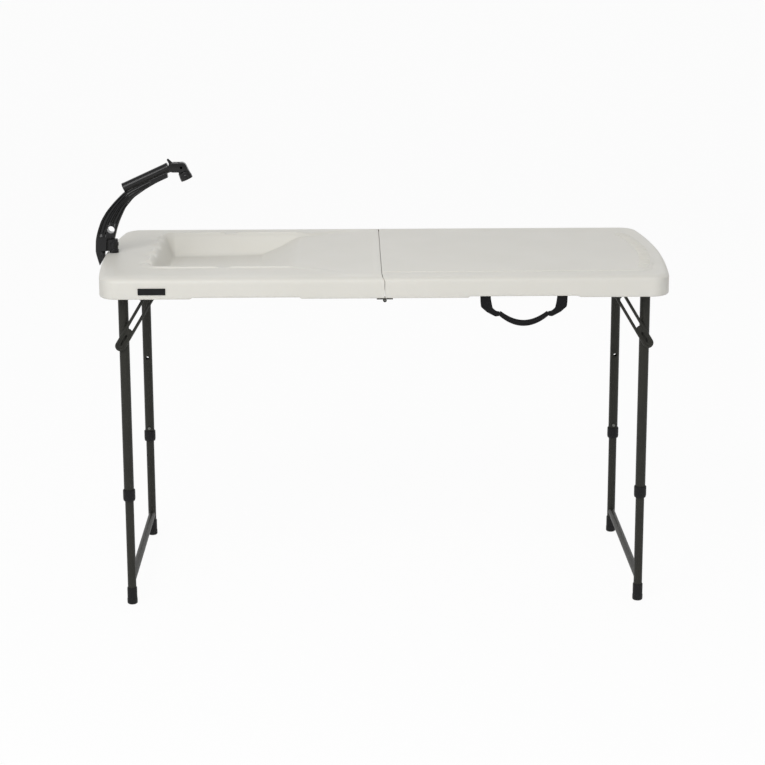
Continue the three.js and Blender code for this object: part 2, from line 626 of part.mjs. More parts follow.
// One leaf of a seam hinge with its knuckles; the left leaf has the two outer ones
function hingeLeaf(side, front) {
  const middle = front * HINGE_Y;
  const half = HINGE_WIDTH / 2;
  const inner = HINGE_WIDTH * HINGE_KNUCKLE_SHARE / 2;
  const spans = side < 0 ? [[-half, -inner - GAP], [inner + GAP, half]] : [[-inner, inner]];
  const top = HINGE_Z + HINGE_RADIUS;
  const near = side * (HINGE_RADIUS + GAP);
  const far = side * HINGE_LEAF;
  let leaf = block(Math.min(near, far), Math.max(near, far), middle - half, middle + half,
    top - HINGE_LEAF_THICKNESS, top);
  for (const [y0, y1] of spans) {
    leaf = leaf.add(bar([0, middle + y0, HINGE_Z], [0, middle + y1, HINGE_Z], HINGE_RADIUS));
    leaf = leaf.add(block(Math.min(0, 2 * near), Math.max(0, 2 * near), middle + y0, middle + y1,
      top - HINGE_LEAF_THICKNESS, top));
  }
  return leaf.subtract(bar([0, middle - half - OVERRUN, HINGE_Z], [0, middle + half + OVERRUN,
    HINGE_Z], HINGE_PIN_RADIUS + GAP));
}

function hingePin(front) {
  const half = HINGE_WIDTH / 2;
  return bar([0, front * HINGE_Y - half, HINGE_Z], [0, front * HINGE_Y + half, HINGE_Z],
    HINGE_PIN_RADIUS);
}

// A strap end of the handle: a band that hangs down, then folds towards the grip
function strap(side) {
  const middle = (HANDLE_LEFT + HANDLE_RIGHT) / 2;
  const half = (HANDLE_RIGHT - HANDLE_LEFT) / 2;
  const neck = gripEdge(-1);
  const shape = outline([[-half, HANDLE_TOP], [STRAP_WIDTH - half, HANDLE_TOP],
    [STRAP_WIDTH + STRAP_LEAN - half, HANDLE_TOP - STRAP_DROP], [neck.x - GAP, neck.high],
    [neck.x - GAP, neck.low], [STRAP_WIDTH + STRAP_REACH - half, neck.low + GRIP_NECK_RISE],
    [STRAP_WIDTH + STRAP_REACH - half, HANDLE_TOP - STRAP_DROP - STRAP_TURN],
    [STRAP_LEAN / 3 - half, HANDLE_TOP - STRAP_DROP]]);
  const bead = bar([-half, HANDLE_Y, HANDLE_TOP], [STRAP_WIDTH - half, HANDLE_Y, HANDLE_TOP],
    STRAP_BEAD_RADIUS);
  const band = slab(shape, STRAP_THICKNESS, HANDLE_Y).add(bead);
  const turn = side < 0 ? band : band.mirror([1, 0, 0]);
  return turn.translate([middle, 0, 0]);
}

// Where the grip starts and how high it is there, measured from the handle's middle
function gripEdge(side) {
  const x = side * ((HANDLE_RIGHT - HANDLE_LEFT) / 2 - GRIP_INSET);
  const z = HANDLE_TOP - GRIP_DROP;
  const half = GRIP_HEIGHT * GRIP_END_SHARE / 2;
  return { x, high: z + half, low: z - half };
}

// The sewn grip: an arc that sags in the middle and thins towards its ends
function grip() {
  const edge = gripEdge(1);
  const upper = [];
  const lower = [];
  for (let k = 0; k <= GRIP_STEPS; k += 1) {
    const t = 2 * k / GRIP_STEPS - 1;
    const z = HANDLE_TOP - GRIP_DROP - GRIP_SAG * (1 - t * t);
    const half = GRIP_HEIGHT / 2 * (GRIP_END_SHARE + (1 - GRIP_END_SHARE) * (1 - t * t));
    upper.push([t * edge.x, z + half]);
    lower.unshift([t * edge.x, z - half]);
  }
  const middle = (HANDLE_LEFT + HANDLE_RIGHT) / 2;
  return slab(outline([...upper, ...lower]), GRIP_THICKNESS, HANDLE_Y).translate([middle, 0, 0]);
}

// The clip above a strap, under the front rail
function strapAnchor(side) {
  const x0 = side < 0 ? HANDLE_LEFT : HANDLE_RIGHT - STRAP_WIDTH;
  return block(x0, x0 + STRAP_WIDTH, -RAIL_OUTER_Y, -RAIL_OUTER_Y + ANCHOR_DEPTH,
    HANDLE_TOP + STRAP_BEAD_RADIUS + GAP, DECK_UNDER - 2 * GAP - RAIL_HEIGHT);
}

// The arm of the faucet: a curved plate with ribs left standing along its edges
function faucetArm() {
  const shape = outline([...ARM_OUTER, ...ARM_INNER]);
  let arm = slab(shape, ARM_THICKNESS, 0);
  const core = outline([...ARM_OUTER.slice(ARM_POCKET_FROM, ARM_POCKET_TO).map(shrink(1)),
    ...ARM_INNER.slice(ARM_POCKET_SKIP, ARM_POCKET_LAST).map(shrink(-1))]);
  for (const front of [-1, 1]) {
    arm = arm.subtract(slab(core, ARM_THICKNESS - ARM_WEB, front * ARM_THICKNESS / 2));
  }
  arm = arm.subtract(bar([ARM_HOLE_X, -ARM_THICKNESS, ARM_HOLE_Z], [ARM_HOLE_X, ARM_THICKNESS,
    ARM_HOLE_Z], ARM_HOLE_RADIUS));
  const [sx, sz] = SPOUT_START;
  const [ex, ez] = SPOUT_END;
  arm = arm.subtract(bar([sx - OVERRUN, 0, sz - OVERRUN * (ez - sz) / (ex - sx)], [ex, 0, ez],
    SPOUT_RADIUS + GAP));
  return arm.subtract(bar([SOCKET_X, 0, -OVERRUN], [SOCKET_X, 0, SOCKET_TOP + GAP],
    SOCKET_RADIUS + SOCKET_RING + GAP));
}

// Moves an edge point of the arm inwards, towards the arm's centre of curvature or away from it
function shrink(sign) {
  const centre = new THREE.Vector2(...ARM_CENTRE);
  return ([x, z]) => {
    const out = new THREE.Vector2(x, z).sub(centre).normalize().multiplyScalar(-sign * ARM_WALL);
    return [x + out.x, z + out.y];
  };
}

// The stepped seat of the arm with its peg through the deck
function faucetSocket() {
  const low = GAP;
  const step = (SOCKET_TOP - low) / 4;
  const wide = SOCKET_RADIUS + SOCKET_RING;
  const profile = [[0, -PEG_DROP], [PEG_RADIUS, -PEG_DROP], [PEG_RADIUS, low],
    [wide, low], [wide, low + step], [SOCKET_RADIUS, low + step], [SOCKET_RADIUS, low + 2 * step],
    [wide, low + 2 * step], [wide, low + 3 * step], [SOCKET_RADIUS, low + 3 * step],
    [SOCKET_RADIUS, SOCKET_TOP], [0, SOCKET_TOP]];
  return turned(profile, SOCKET_X, 0);
}

// The open tube on the arm's back, with a lip at its lower end
function spout() {
  const a = new THREE.Vector2(...SPOUT_START);
  const b = new THREE.Vector2(...SPOUT_END);
  const along = b.clone().sub(a).normalize();
  const at = (p, d) => [p.x + along.x * d, 0, p.y + along.y * d];
  return bar(at(a, 0), at(b, 0), SPOUT_RADIUS)
    .subtract(bar(at(a, -OVERRUN), at(a, SPOUT_DEPTH), SPOUT_BORE));
}

// The neck at the end of the spout: a fork of two cheeks that carries the head
function neck() {
  const [ex, ez] = HEAD_ELBOW;
  const wide = HEAD_WIDTH + 2 * (GAP + HEAD_CHEEK);
  const body = slab(oval(ex - NECK_LENGTH, ez, ex, ez, NECK_RADIUS), wide, 0);
  const slot = slab(oval(ex, ez, ex, ez - HEAD_RADIUS, HEAD_RADIUS + GAP), HEAD_WIDTH + 2 * GAP, 0)
    .add(slab(oval(ex, ez, ex + 2 * HEAD_RADIUS, ez, HEAD_RADIUS + GAP), HEAD_WIDTH + 2 * GAP, 0));
  const a = new THREE.Vector2(...SPOUT_END);
  const along = a.clone().sub(new THREE.Vector2(...SPOUT_START)).normalize();
  const end = [a.x + along.x * GAP, 0, a.y + along.y * GAP];
  const back = [a.x - along.x * TOP_LENGTH, 0, a.y - along.y * TOP_LENGTH];
  const tab = slab(outline(TAB_SHARES.map(([u, v]) => [a.x + u * LEVER_LENGTH,
    a.y + SPOUT_RADIUS + v * LEVER_WIDTH])), LEVER_THICKNESS, 0);
  return body.add(tab).add(bar([a.x, 0, a.y], [ex - NECK_LENGTH, 0, ez], NECK_RADIUS))
    .subtract(bar(back, end, 2 * SPOUT_RADIUS))
    .subtract(slot)
    .subtract(headPin(GAP));
}

function headPin(grow = 0) {
  const [ex, ez] = HEAD_ELBOW;
  const half = HEAD_WIDTH / 2 + GAP + HEAD_CHEEK + grow;
  return bar([ex, -half, ez], [ex, half, ez], HEAD_PIN_RADIUS + grow, HEAD_PIN_RADIUS + grow,
    HOLE_SIDES);
}

// The tilting head: a barrel on the pin and a wide nozzle with a recessed tip
function head() {
  const [ex, ez] = HEAD_ELBOW;
  const [tx, tz] = HEAD_TIP;
  const barrel = bar([ex, -HEAD_WIDTH / 2, ez], [ex, HEAD_WIDTH / 2, ez], HEAD_RADIUS);
  const along = new THREE.Vector2(tx - ex, tz - ez).normalize();
  const at = (distance) => [ex + along.x * distance, 0, ez + along.y * distance];
  const length = Math.hypot(tx - ex, tz - ez);
  const shank = bar(at(0), at(length), HEAD_WIDTH / 2);
  const nozzle = bar(at(NECK_RADIUS + 2 * GAP), at(length), HEAD_NOZZLE_RADIUS, HEAD_TIP_RADIUS);
  const bore = bar(at(length - HEAD_BORE_DEPTH), at(length + OVERRUN), HEAD_BORE);
  return barrel.add(shank).add(nozzle).subtract(bore).subtract(headPin(GAP));
}

function badge() {
  const y = -HALF_WIDTH - GAP;
  const left = BADGE_END_INSET - HALF_LENGTH;
  const low = APRON_BOTTOM + BADGE_RISE;
  return block(left, left + BADGE_LENGTH, y - BADGE_THICKNESS, y, low, low + BADGE_HEIGHT);
}

// The assembly, with the seam shifted so that the whole object stands over the origin
const table = new THREE.Group();
table.position.x = SEAM_X;
const shell = topShell();
table.add(meshOf('top_sink_half', sinkHalf(shell), resin));
table.add(meshOf('top_work_half', workHalf(shell), resin));

const SIDES = [['left', -1], ['right', 1]];
const FRONTS = [['front', -1], ['back', 1]];
for (const [sideName, side] of SIDES) {
  const legs = new THREE.Group();
  legs.add(meshOf(`cross_bar_${sideName}`, crossBar(side), steel));
  legs.add(meshOf(`foot_bar_${sideName}`, footBar(side), steel));
  for (const [frontName, front] of FRONTS) {
    const place = `${sideName}_${frontName}`;
    legs.add(meshOf(`rail_${place}`, rail(side, front), steel));
    legs.add(meshOf(`upper_leg_${place}`, upperTube(side, front), steel));
    legs.add(meshOf(`collar_${place}`, collar(side, front), blackPlastic));
    legs.add(meshOf(`lock_button_${place}`, button(side, front), steel));
    legs.add(meshOf(`lower_leg_${place}`, lowerTube(side, front), steel));
    legs.add(meshOf(`foot_${place}`, foot(side, front), blackPlastic));
    legs.add(meshOf(`stay_${place}`, stay(side, front), steel));
  }
  table.add(legs);
}

for (const [frontName, front] of FRONTS) {
  table.add(meshOf(`hinge_leaf_left_${frontName}`, hingeLeaf(-1, front), steel));
  table.add(meshOf(`hinge_leaf_right_${frontName}`, hingeLeaf(1, front), steel));
  table.add(meshOf(`hinge_pin_${frontName}`, hingePin(front), steel));
}

table.add(meshOf('handle_strap_left', strap(-1), webbing));
table.add(meshOf('handle_strap_right', strap(1), webbing));
table.add(meshOf('handle_grip', grip(), webbing));
table.add(meshOf('handle_anchor_left', strapAnchor(-1), blackPlastic));
table.add(meshOf('handle_anchor_right', strapAnchor(1), blackPlastic));
table.add(meshOf('badge_plate', badge(), blackPlastic));

const faucet = new THREE.Group();
faucet.add(meshOf('faucet_arm', faucetArm(), blackPlastic));
faucet.add(meshOf('faucet_socket', faucetSocket(), blackPlastic));
faucet.add(meshOf('faucet_spout', spout(), blackPlastic));
faucet.add(meshOf('faucet_neck', neck(), blackPlastic));
faucet.add(meshOf('faucet_head', head(), blackPlastic));
faucet.add(meshOf('faucet_head_pin', headPin(), steel));
faucet.position.set(-HALF_LENGTH, 0, TOP_HEIGHT);
table.add(faucet);

const root = new THREE.Group();
root.add(table);

export default root;
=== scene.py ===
"""A folding fish cleaning table: two moulded halves, steel legs, a webbing handle and a faucet arm.

Lengths are metres. X runs along the table to the work half, -Y is the working side, Z is up.
"""

import bmesh
import bpy
import numpy as np
from mathutils import Matrix, Vector


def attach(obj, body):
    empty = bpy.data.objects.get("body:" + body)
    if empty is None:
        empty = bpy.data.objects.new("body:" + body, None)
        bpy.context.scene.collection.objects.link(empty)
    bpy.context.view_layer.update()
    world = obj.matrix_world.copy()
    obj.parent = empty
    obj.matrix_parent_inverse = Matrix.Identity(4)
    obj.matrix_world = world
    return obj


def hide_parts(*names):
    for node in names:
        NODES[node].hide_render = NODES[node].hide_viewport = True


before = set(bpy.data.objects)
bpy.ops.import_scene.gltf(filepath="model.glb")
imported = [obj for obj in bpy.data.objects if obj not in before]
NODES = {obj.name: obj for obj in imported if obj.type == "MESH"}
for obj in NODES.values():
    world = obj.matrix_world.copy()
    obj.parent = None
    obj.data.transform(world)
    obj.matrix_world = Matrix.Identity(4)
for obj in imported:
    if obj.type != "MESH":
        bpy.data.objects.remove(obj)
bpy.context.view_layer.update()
SEAM = 0.010            # the table stands with its seam this far right of the origin


# ------------------------ camera

def aim_camera(place, yaw, down, roll, lens):
    """A camera that looks along +Y turned by yaw, tipped down and rolled, all in radians."""
    data = bpy.data.cameras.new("camera")
    data.lens = lens
    data.sensor_width = 36.0
    data.clip_end = 60.0
    camera = bpy.data.objects.new("camera", data)
    bpy.context.scene.collection.objects.link(camera)
    forward = Vector((np.sin(yaw) * np.cos(down), np.cos(yaw) * np.cos(down), -np.sin(down)))
    side = Vector((np.cos(yaw), -np.sin(yaw), 0.0))
    up = side.cross(forward)
    right = side * np.cos(roll) + up * np.sin(roll)
    top = up * np.cos(roll) - side * np.sin(roll)
    turn = Matrix((right, top, -forward)).transposed().to_4x4()
    turn.translation = Vector(place)
    camera.matrix_world = turn
    bpy.context.scene.camera = camera


# Place, turn, tip, roll and focal length are those that fit the photograph's outline of the table.
aim_camera((-0.06814 + SEAM, -4.73831, 1.58170), np.radians(0.8078), np.radians(13.6057),
           np.radians(-0.1804), 101.30)


# ------------------------ materials

WEAVE_REPEAT = 0.0026


def linear(code):
    """A linear colour from an sRGB hex code such as "d9d8d1"."""
    value = np.array([int(code[i:i + 2], 16) for i in (0, 2, 4)]) / 255.0
    low = value / 12.92
    high = ((value + 0.055) / 1.055) ** 2.4
    return (*np.where(value <= 0.04045, low, high).tolist(), 1.0)


def add(tree, kind, settings=None, **links):
    """One node with its settings; a link or value is given by the input's name or index."""
    made = tree.nodes.new(kind)
    for key, value in (settings or {}).items():
        setattr(made, key, value)
    for key, value in links.items():
        name = key.replace("_", " ")
        socket = made.inputs[int(key[1:])] if key[0] == "i" and key[1:].isdigit() else made.inputs[name]
        if isinstance(value, bpy.types.NodeSocket):
            tree.links.new(value, socket)
        else:
            socket.default_value = value
    return made


def new_material(name, **values):
    """A material, its tree, its shader with the given values, and Object coordinates for patterns."""
    made = bpy.data.materials.new(name)
    made.use_nodes = True
    tree = made.node_tree
    shader = tree.nodes["Principled BSDF"]
    for key, value in values.items():
        shader.inputs[key.replace("_", " ")].default_value = value
    place = add(tree, "ShaderNodeTexCoord").outputs["Object"]
    return made, tree, shader, place


def colour(tree, shader, pattern, dark, light):
    """Gives the shader a colour that a pattern mixes from two shades."""
    shade = add(tree, "ShaderNodeMix", {"data_type": "RGBA"}, Factor=pattern)
    shade.inputs[6].default_value = linear(dark)
    shade.inputs[7].default_value = linear(light)
    tree.links.new(shade.outputs[2], shader.inputs["Base Color"])


def noise(tree, place, scale, detail):
    """A cloudy pattern."""
    return add(tree, "ShaderNodeTexNoise", Vector=place, Scale=scale, Detail=detail).outputs["Fac"]


def relief(tree, shader, height, depth, strength):
    """Turns a height pattern into a bump of a real depth in metres."""
    bump = add(tree, "ShaderNodeBump", Height=height, Distance=depth, Strength=strength)
    tree.links.new(bump.outputs["Normal"], shader.inputs["Normal"])


def moulded_polyethylene():
    # Blow-moulded HDPE from a sand-blasted mould: chalky off-white with a low, soft sheen.
    # The leather-like grain is about 1.2 mm across in the real sheet and is drawn at 2 mm.
    made, tree, shader, place = new_material("moulded_polyethylene", IOR=1.51, Subsurface_Weight=0.06,
                                             Subsurface_Radius=(0.006, 0.005, 0.004))
    colour(tree, shader, noise(tree, place, 5.0, 3.0), "d9d7cf", "dedcd5")
    grain = add(tree, "ShaderNodeTexVoronoi", {"feature": "SMOOTH_F1"}, Vector=place, Scale=480.0)
    relief(tree, shader, grain.outputs["Distance"], 0.0002, 0.35)
    worn = noise(tree, place, 14.0, 4.0)
    rough = add(tree, "ShaderNodeMapRange", Value=worn, To_Min=0.42, To_Max=0.56)
    tree.links.new(rough.outputs[0], shader.inputs["Roughness"])
    return made


def powder_coat():
    # Polyester powder coat on steel tube: dark olive grey, an even satin with a faint orange peel.
    made, tree, shader, place = new_material("powder_coat", Coat_Weight=0.03, Coat_Roughness=0.35,
                                             Roughness=0.46, Specular_IOR_Level=0.2)
    colour(tree, shader, noise(tree, place, 22.0, 3.0), "282824", "31312c")
    relief(tree, shader, noise(tree, place, 700.0, 2.0), 0.00012, 0.4)
    return made


def zinc_plate():
    # Zinc-plated spring steel, dulled by handling: a metal with a soft, uneven gloss.
    made, tree, shader, place = new_material("zinc_plate", Metallic=1.0, Roughness=0.42)
    colour(tree, shader, noise(tree, place, 160.0, 3.0), "6b6c69", "84857f")
    relief(tree, shader, noise(tree, place, 900.0, 3.0), 0.00004, 0.3)
    return made


def moulded_nylon():
    # Glass-filled nylon from an etched mould: near black, dry, with a spark-eroded grain of 0.6 mm.
    made, tree, shader, place = new_material("moulded_nylon", Roughness=0.5, IOR=1.53,
                                             Specular_IOR_Level=0.2)
    colour(tree, shader, noise(tree, place, 60.0, 3.0), "131314", "19191a")
    relief(tree, shader, noise(tree, place, 1500.0, 2.0), 0.00008, 0.35)
    return made


def polished_abs():
    # Injection-moulded ABS off a polished mould: deep black with a clear gloss.
    made, tree, shader, place = new_material("polished_abs", Coat_Weight=0.06, Coat_Roughness=0.2,
                                             Roughness=0.24, Specular_IOR_Level=0.32, IOR=1.53)
    colour(tree, shader, noise(tree, place, 40.0, 3.0), "0e0e0f", "141415")
    relief(tree, shader, noise(tree, place, 90.0, 1.0), 0.00006, 0.25)
    return made


def woven_webbing():
    # Polyester webbing in a plain weave, threads 1.3 mm apart: black yarn whose raised crossings carry a
    # dull painted highlight.
    made, tree, shader, _ = new_material("woven_webbing", Roughness=0.85, Sheen_Weight=0.05,
                                         Specular_IOR_Level=0.15)
    sheet = add(tree, "ShaderNodeUVMap", {"uv_map": "cloth"}).outputs["UV"]
    checks = []
    for turn in (0.0, np.pi / 2):
        laid = add(tree, "ShaderNodeMapping", Vector=sheet, Rotation=(0.0, 0.0, turn))
        wave = add(tree, "ShaderNodeTexWave", {"wave_profile": "SIN"}, Vector=laid.outputs[0],
                   Scale=1.0 / WEAVE_REPEAT / 6.2832 * 2.0)
        checks.append(wave.outputs["Fac"])
    weave = add(tree, "ShaderNodeMath", {"operation": "MULTIPLY"}, i0=checks[0], i1=checks[1]).outputs[0]
    # Painted highlight: the raised thread crossings are painted lighter than the black yarn.
    colour(tree, shader, weave, "131314", "2b2b2d")
    both = add(tree, "ShaderNodeMath", {"operation": "MULTIPLY_ADD"}, i0=noise(tree, sheet, 1800.0, 2.0),
               i1=0.35, i2=weave)
    relief(tree, shader, both.outputs[0], 0.0004, 0.8)
    return made


RESIN = moulded_polyethylene()
POWDER = powder_coat()
ZINC = zinc_plate()
NYLON = moulded_nylon()
GLOSS = polished_abs()
WEBBING = woven_webbing()
SLOTS = {"powder_steel": POWDER, "button_steel": ZINC, "black_plastic": NYLON, "faucet_plastic": GLOSS}


# ------------------------ surfaces

def grid_faces(rows, columns, wrap_rows=False, wrap_columns=False):
    """The quads of a grid of points that is stored row by row."""
    i = np.arange(rows if wrap_rows else rows - 1)
    j = np.arange(columns if wrap_columns else columns - 1)
    i, j = (a.ravel() for a in np.meshgrid(i, j, indexing="ij"))
    di, dj = (i + 1) % rows, (j + 1) % columns
    return np.stack([i * columns + j, i * columns + dj, di * columns + dj, di * columns + j], 1)


def new_piece(name, points, faces, material):
    """A new object in the scene, from points and faces."""
    mesh = bpy.data.meshes.new(name)
    mesh.from_pydata(np.asarray(points, float).reshape(-1, 3).tolist(), [],
                     [list(map(int, f)) for f in faces])
    mesh.materials.append(material)
    piece = bpy.data.objects.new(name, mesh)
    bpy.context.scene.collection.objects.link(piece)
    return piece


def weld(mesh):
    """Joins points that fall together and turns all faces outwards."""
    made = bmesh.new()
    made.from_mesh(mesh)
    bmesh.ops.remove_doubles(made, verts=made.verts, dist=2e-6)
    bmesh.ops.dissolve_degenerate(made, edges=made.edges, dist=1e-7)
    bmesh.ops.recalc_face_normals(made, faces=made.faces)
    made.to_mesh(mesh)
    made.free()


def solid(name, points, faces, material, body, nodes=(), slot="", seats=None, angle=35.0, welded=False):
    """A piece that rides on its CAD body and stands for its nodes.

    Its shading is split where faces meet at more than angle degrees. seats are UVs in metres,
    one for each point.
    """
    piece = new_piece(name, points, faces, material)
    mesh = piece.data
    if welded:
        weld(mesh)
    else:
        mesh.validate()
    if seats is not None:
        layer = mesh.uv_layers.new(name="cloth")
        corner = np.zeros(len(mesh.loops), np.int32)
        mesh.loops.foreach_get("vertex_index", corner)
        layer.data.foreach_set("uv", np.asarray(seats, np.float32).reshape(-1, 2)[corner].ravel())
    mesh.shade_smooth()
    mesh.set_sharp_from_angle(angle=np.radians(angle))
    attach(piece, body)
    if nodes:
        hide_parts(*nodes)
    return piece


def part(name, node, slot, mesh, body, angle=35.0):
    """A piece that stands for one node, in the material that goes with its slot."""
    solid(name, *mesh, SLOTS[slot], body, [node], slot, angle=angle)


def join(*parts):
    """Several (points, faces) sets as one."""
    points, faces, start = [], [], 0
    for p, f in parts:
        p = np.asarray(p, float).reshape(-1, 3)
        points.append(p)
        faces.extend([[int(v) + start for v in face] for face in f])
        start += len(p)
    return np.concatenate(points), faces


def rounded(profile, radius, steps=4):
    """A closed profile whose corners are cut by arcs: each corner becomes a quadratic curve."""
    p = np.asarray(profile, float)
    back = np.roll(p, 1, 0) - p
    ahead = np.roll(p, -1, 0) - p
    lb = np.linalg.norm(back, axis=1, keepdims=True)
    la = np.linalg.norm(ahead, axis=1, keepdims=True)
    r = np.minimum(np.broadcast_to(np.asarray(radius, float).reshape(-1, 1), lb.shape),
                   0.48 * np.minimum(lb, la))
    start, end = p + back / lb * r, p + ahead / la * r
    t = np.linspace(0.0, 1.0, steps + 1)[None, :, None]
    curve = (1 - t) ** 2 * start[:, None] + 2 * t * (1 - t) * p[:, None] + t ** 2 * end[:, None]
    return curve.reshape(-1, p.shape[1])


def full_turn(sides):
    """Angles that go round once."""
    return np.linspace(0.0, 2 * np.pi, sides, endpoint=False)


def lathe(profile, x, y, sides=48):
    """A closed profile of radius and height, carried round a vertical axis: x + r cos, y + r sin, z."""
    turn = full_turn(sides)[:, None]
    r, z = np.asarray(profile, float).T
    points = np.stack([x + r * np.cos(turn), y + r * np.sin(turn), z + 0 * turn], -1)
    return points.reshape(-1, 3), grid_faces(sides, len(profile), True, True)


def frames_along(path, lift=(0.0, 0.0, 1.0)):
    """For each point of a path: its direction, and two directions across it nearest to a given lift."""
    path = np.asarray(path, float)
    along = np.gradient(path, axis=0)
    along /= np.linalg.norm(along, axis=1, keepdims=True)
    first = np.cross(along, np.asarray(lift, float))
    first /= np.linalg.norm(first, axis=1, keepdims=True)
    return along, first, np.cross(first, along)


def capped(layers, count):
    """The faces of a stack of closed rings: its sides, and the first and last ring as caps."""
    caps = [list(range(count))[::-1], [(layers - 1) * count + i for i in range(count)]]
    return grid_faces(layers, count, False, True).tolist() + caps


def two_sided(faces, count):
    """An open sheet's faces, the same faces reversed on a second set of points, and walls between.

    count is the number of points on one side. A wall stands on each edge that has one face only.
    """
    front = faces.tolist()
    edges = {(p, q): True for f in front for p, q in zip(f, f[1:] + f[:1])}
    walls = [[q, p, p + count, q + count] for (p, q) in edges if (q, p) not in edges]
    return front + (faces[:, ::-1] + count).tolist() + walls


def sweep(path, section, lift=(0.0, 0.0, 1.0), closed=False):
    """A closed section carried along a path, capped at both ends unless the path is closed."""
    path = np.asarray(path, float)
    _, side, up = frames_along(path, lift)
    if closed:
        ring = np.concatenate([path[-1:], path, path[:1]])
        _, side, up = (a[1:-1] for a in frames_along(ring, lift))
    shape = np.asarray(section, float)
    points = path[:, None] + shape[None, :, :1] * side[:, None] + shape[None, :, 1:] * up[:, None]
    faces = grid_faces(len(path), len(shape), True, True) if closed else capped(len(path), len(shape))
    return points.reshape(-1, 3), faces


def circle(radius, sides=16):
    """A round section."""
    turn = full_turn(sides)
    return radius * np.stack([np.cos(turn), np.sin(turn)], 1)


def pill(ax, az, bx, bz, radius, steps=12):
    """The outline round two points in X and Z: two straight sides and two half circles."""
    turn = np.arctan2(bz - az, bx - ax)
    t = turn + np.linspace(-np.pi / 2, np.pi / 2, steps)
    arc = radius * np.stack([np.cos(t), np.sin(t)], 1)
    return np.concatenate([(bx, bz) + arc, (ax, az) - arc])


def turned(profile, radius, on_axis):
    """A profile of radius and height, rounded, whose points nearer than on_axis lie on the axis."""
    curve = rounded(profile, radius, 3)
    curve[curve[:, 0] < on_axis, 0] = 0.0
    return curve


# ------------------------ the moulded top

TOP, DECK = 0.737, 0.005                              # height and thickness of the deck
HALF_X, HALF_Y = 0.618, 0.305
BOW, CORNER, SHOULDER = 0.015, 0.042, 0.009
SEAM_HALF_GAP, SEAM_STEP, SEAM_FADE = 0.0007, 0.006, 0.05
LIP_RISE, LIP_FROM, LIP_TO = 0.003, 0.175, 0.404      # the apron's raised part, from the seam
OUTER_RINGS, CORNER_STEPS = 19, 12
BASIN = (-0.505, 0.2, -0.188, 0.236, 0.026)           # x and y limits and corner radius
BASIN_DEPTH, SCALLOP_DEPTH, RIM_HEIGHT = 0.050, 0.0035, 0.0035
SCALLOPS = (-0.126, -0.026, 0.074, 0.174)
FIELD_END, FIELD_HALF, FIELD_CORNER = 0.5945, 0.247, 0.020
RIB_COUNT, RIB_START, RIB_PITCH, RIB_HALF_WIDTH, RIB_END = 23, -0.214, 0.0190, 0.0025, 0.5890


def smooth(a, low, high):
    """0 below low, 1 above high, and a cubic between them."""
    t = np.clip((a - low) / (high - low), 0.0, 1.0)
    return t * t * (3 - 2 * t)


def ridge(distance, half, soft):
    """1 on a line, falling to 0 over soft beyond its half width."""
    return 1.0 - smooth(np.abs(distance), half, half + soft)


def corner_distance(dx, dy, r):
    """The signed distance to a rounded corner, for distances beyond the centre of its arc."""
    return np.hypot(np.maximum(dx, 0), np.maximum(dy, 0)) + np.minimum(np.maximum(dx, dy), 0) - r


def round_box(x, y, x0, x1, y0, y1, r):
    """The signed distance to a rounded rectangle, negative inside."""
    return corner_distance(np.abs(x - (x0 + x1) / 2) - (x1 - x0) / 2 + r,
                           np.abs(y - (y0 + y1) / 2) - (y1 - y0) / 2 + r, r)


def graded(low, high, count, spots, width, gain):
    """Values from low to high that stand closer together near the given spots."""
    s = np.linspace(low, high, 2001)
    density = 1.0 + sum((gain * np.exp(-((s - spot) / width) ** 2) for spot in spots), np.zeros(2001))
    reach = np.concatenate([[0.0], np.cumsum((density[1:] + density[:-1]) / 2)])
    return np.interp(np.linspace(0.0, reach[-1], count), reach, s)


def end_curve(inset, rows):
    """The bowed right end with its two corners: points at the given shares of the way between them."""
    x, y, r = HALF_X - inset, HALF_Y - inset, CORNER - inset
    side = x - BOW
    t = np.linspace(0.0, 1.0, CORNER_STEPS + 1)[:-1, None]
    a, b, c = (np.array(p) for p in ((side - r, -y), (side - r / 4, -y), (side, -(y - r))))
    corner = (1 - t) ** 2 * a + 2 * t * (1 - t) * b + t ** 2 * c
    s = rows[:, None]
    bow = ((1 - s) ** 2 * np.array((side, -(y - r))) + 2 * s * (1 - s) * np.array((x + BOW, 0.0))
           + s ** 2 * np.array((side, y - r)))
    return np.concatenate([corner, bow, (corner * (1, -1))[::-1]])


def ring(inset, rows, columns):
    """The outline drawn in by an inset: from the seam along the front, round the end and back to it."""
    end = end_curve(inset, rows)
    u = columns[:-1, None]
    front = np.array([SEAM_HALF_GAP, end[0, 1]]) * (1 - u) + end[0] * u
    back = np.array([SEAM_HALF_GAP, end[-1, 1]]) * (1 - u) + end[-1] * u
    return np.concatenate([front, end, back[::-1]])


def sheet(inset, rows, columns):
    """The deck inside a ring: each row runs straight from the seam to the end curve."""
    end = end_curve(inset, rows)
    x = SEAM_HALF_GAP + columns[:, None] * (end[None, :, 0] - SEAM_HALF_GAP)
    return np.stack([x, np.broadcast_to(end[:, 1], x.shape)], -1)


def seam_shift(x):
    """How far the deck stands left of the apron: the whole step at the seam, and less beside it."""
    return SEAM_STEP * np.clip(1 - np.abs(x) / SEAM_FADE, 0, 1)


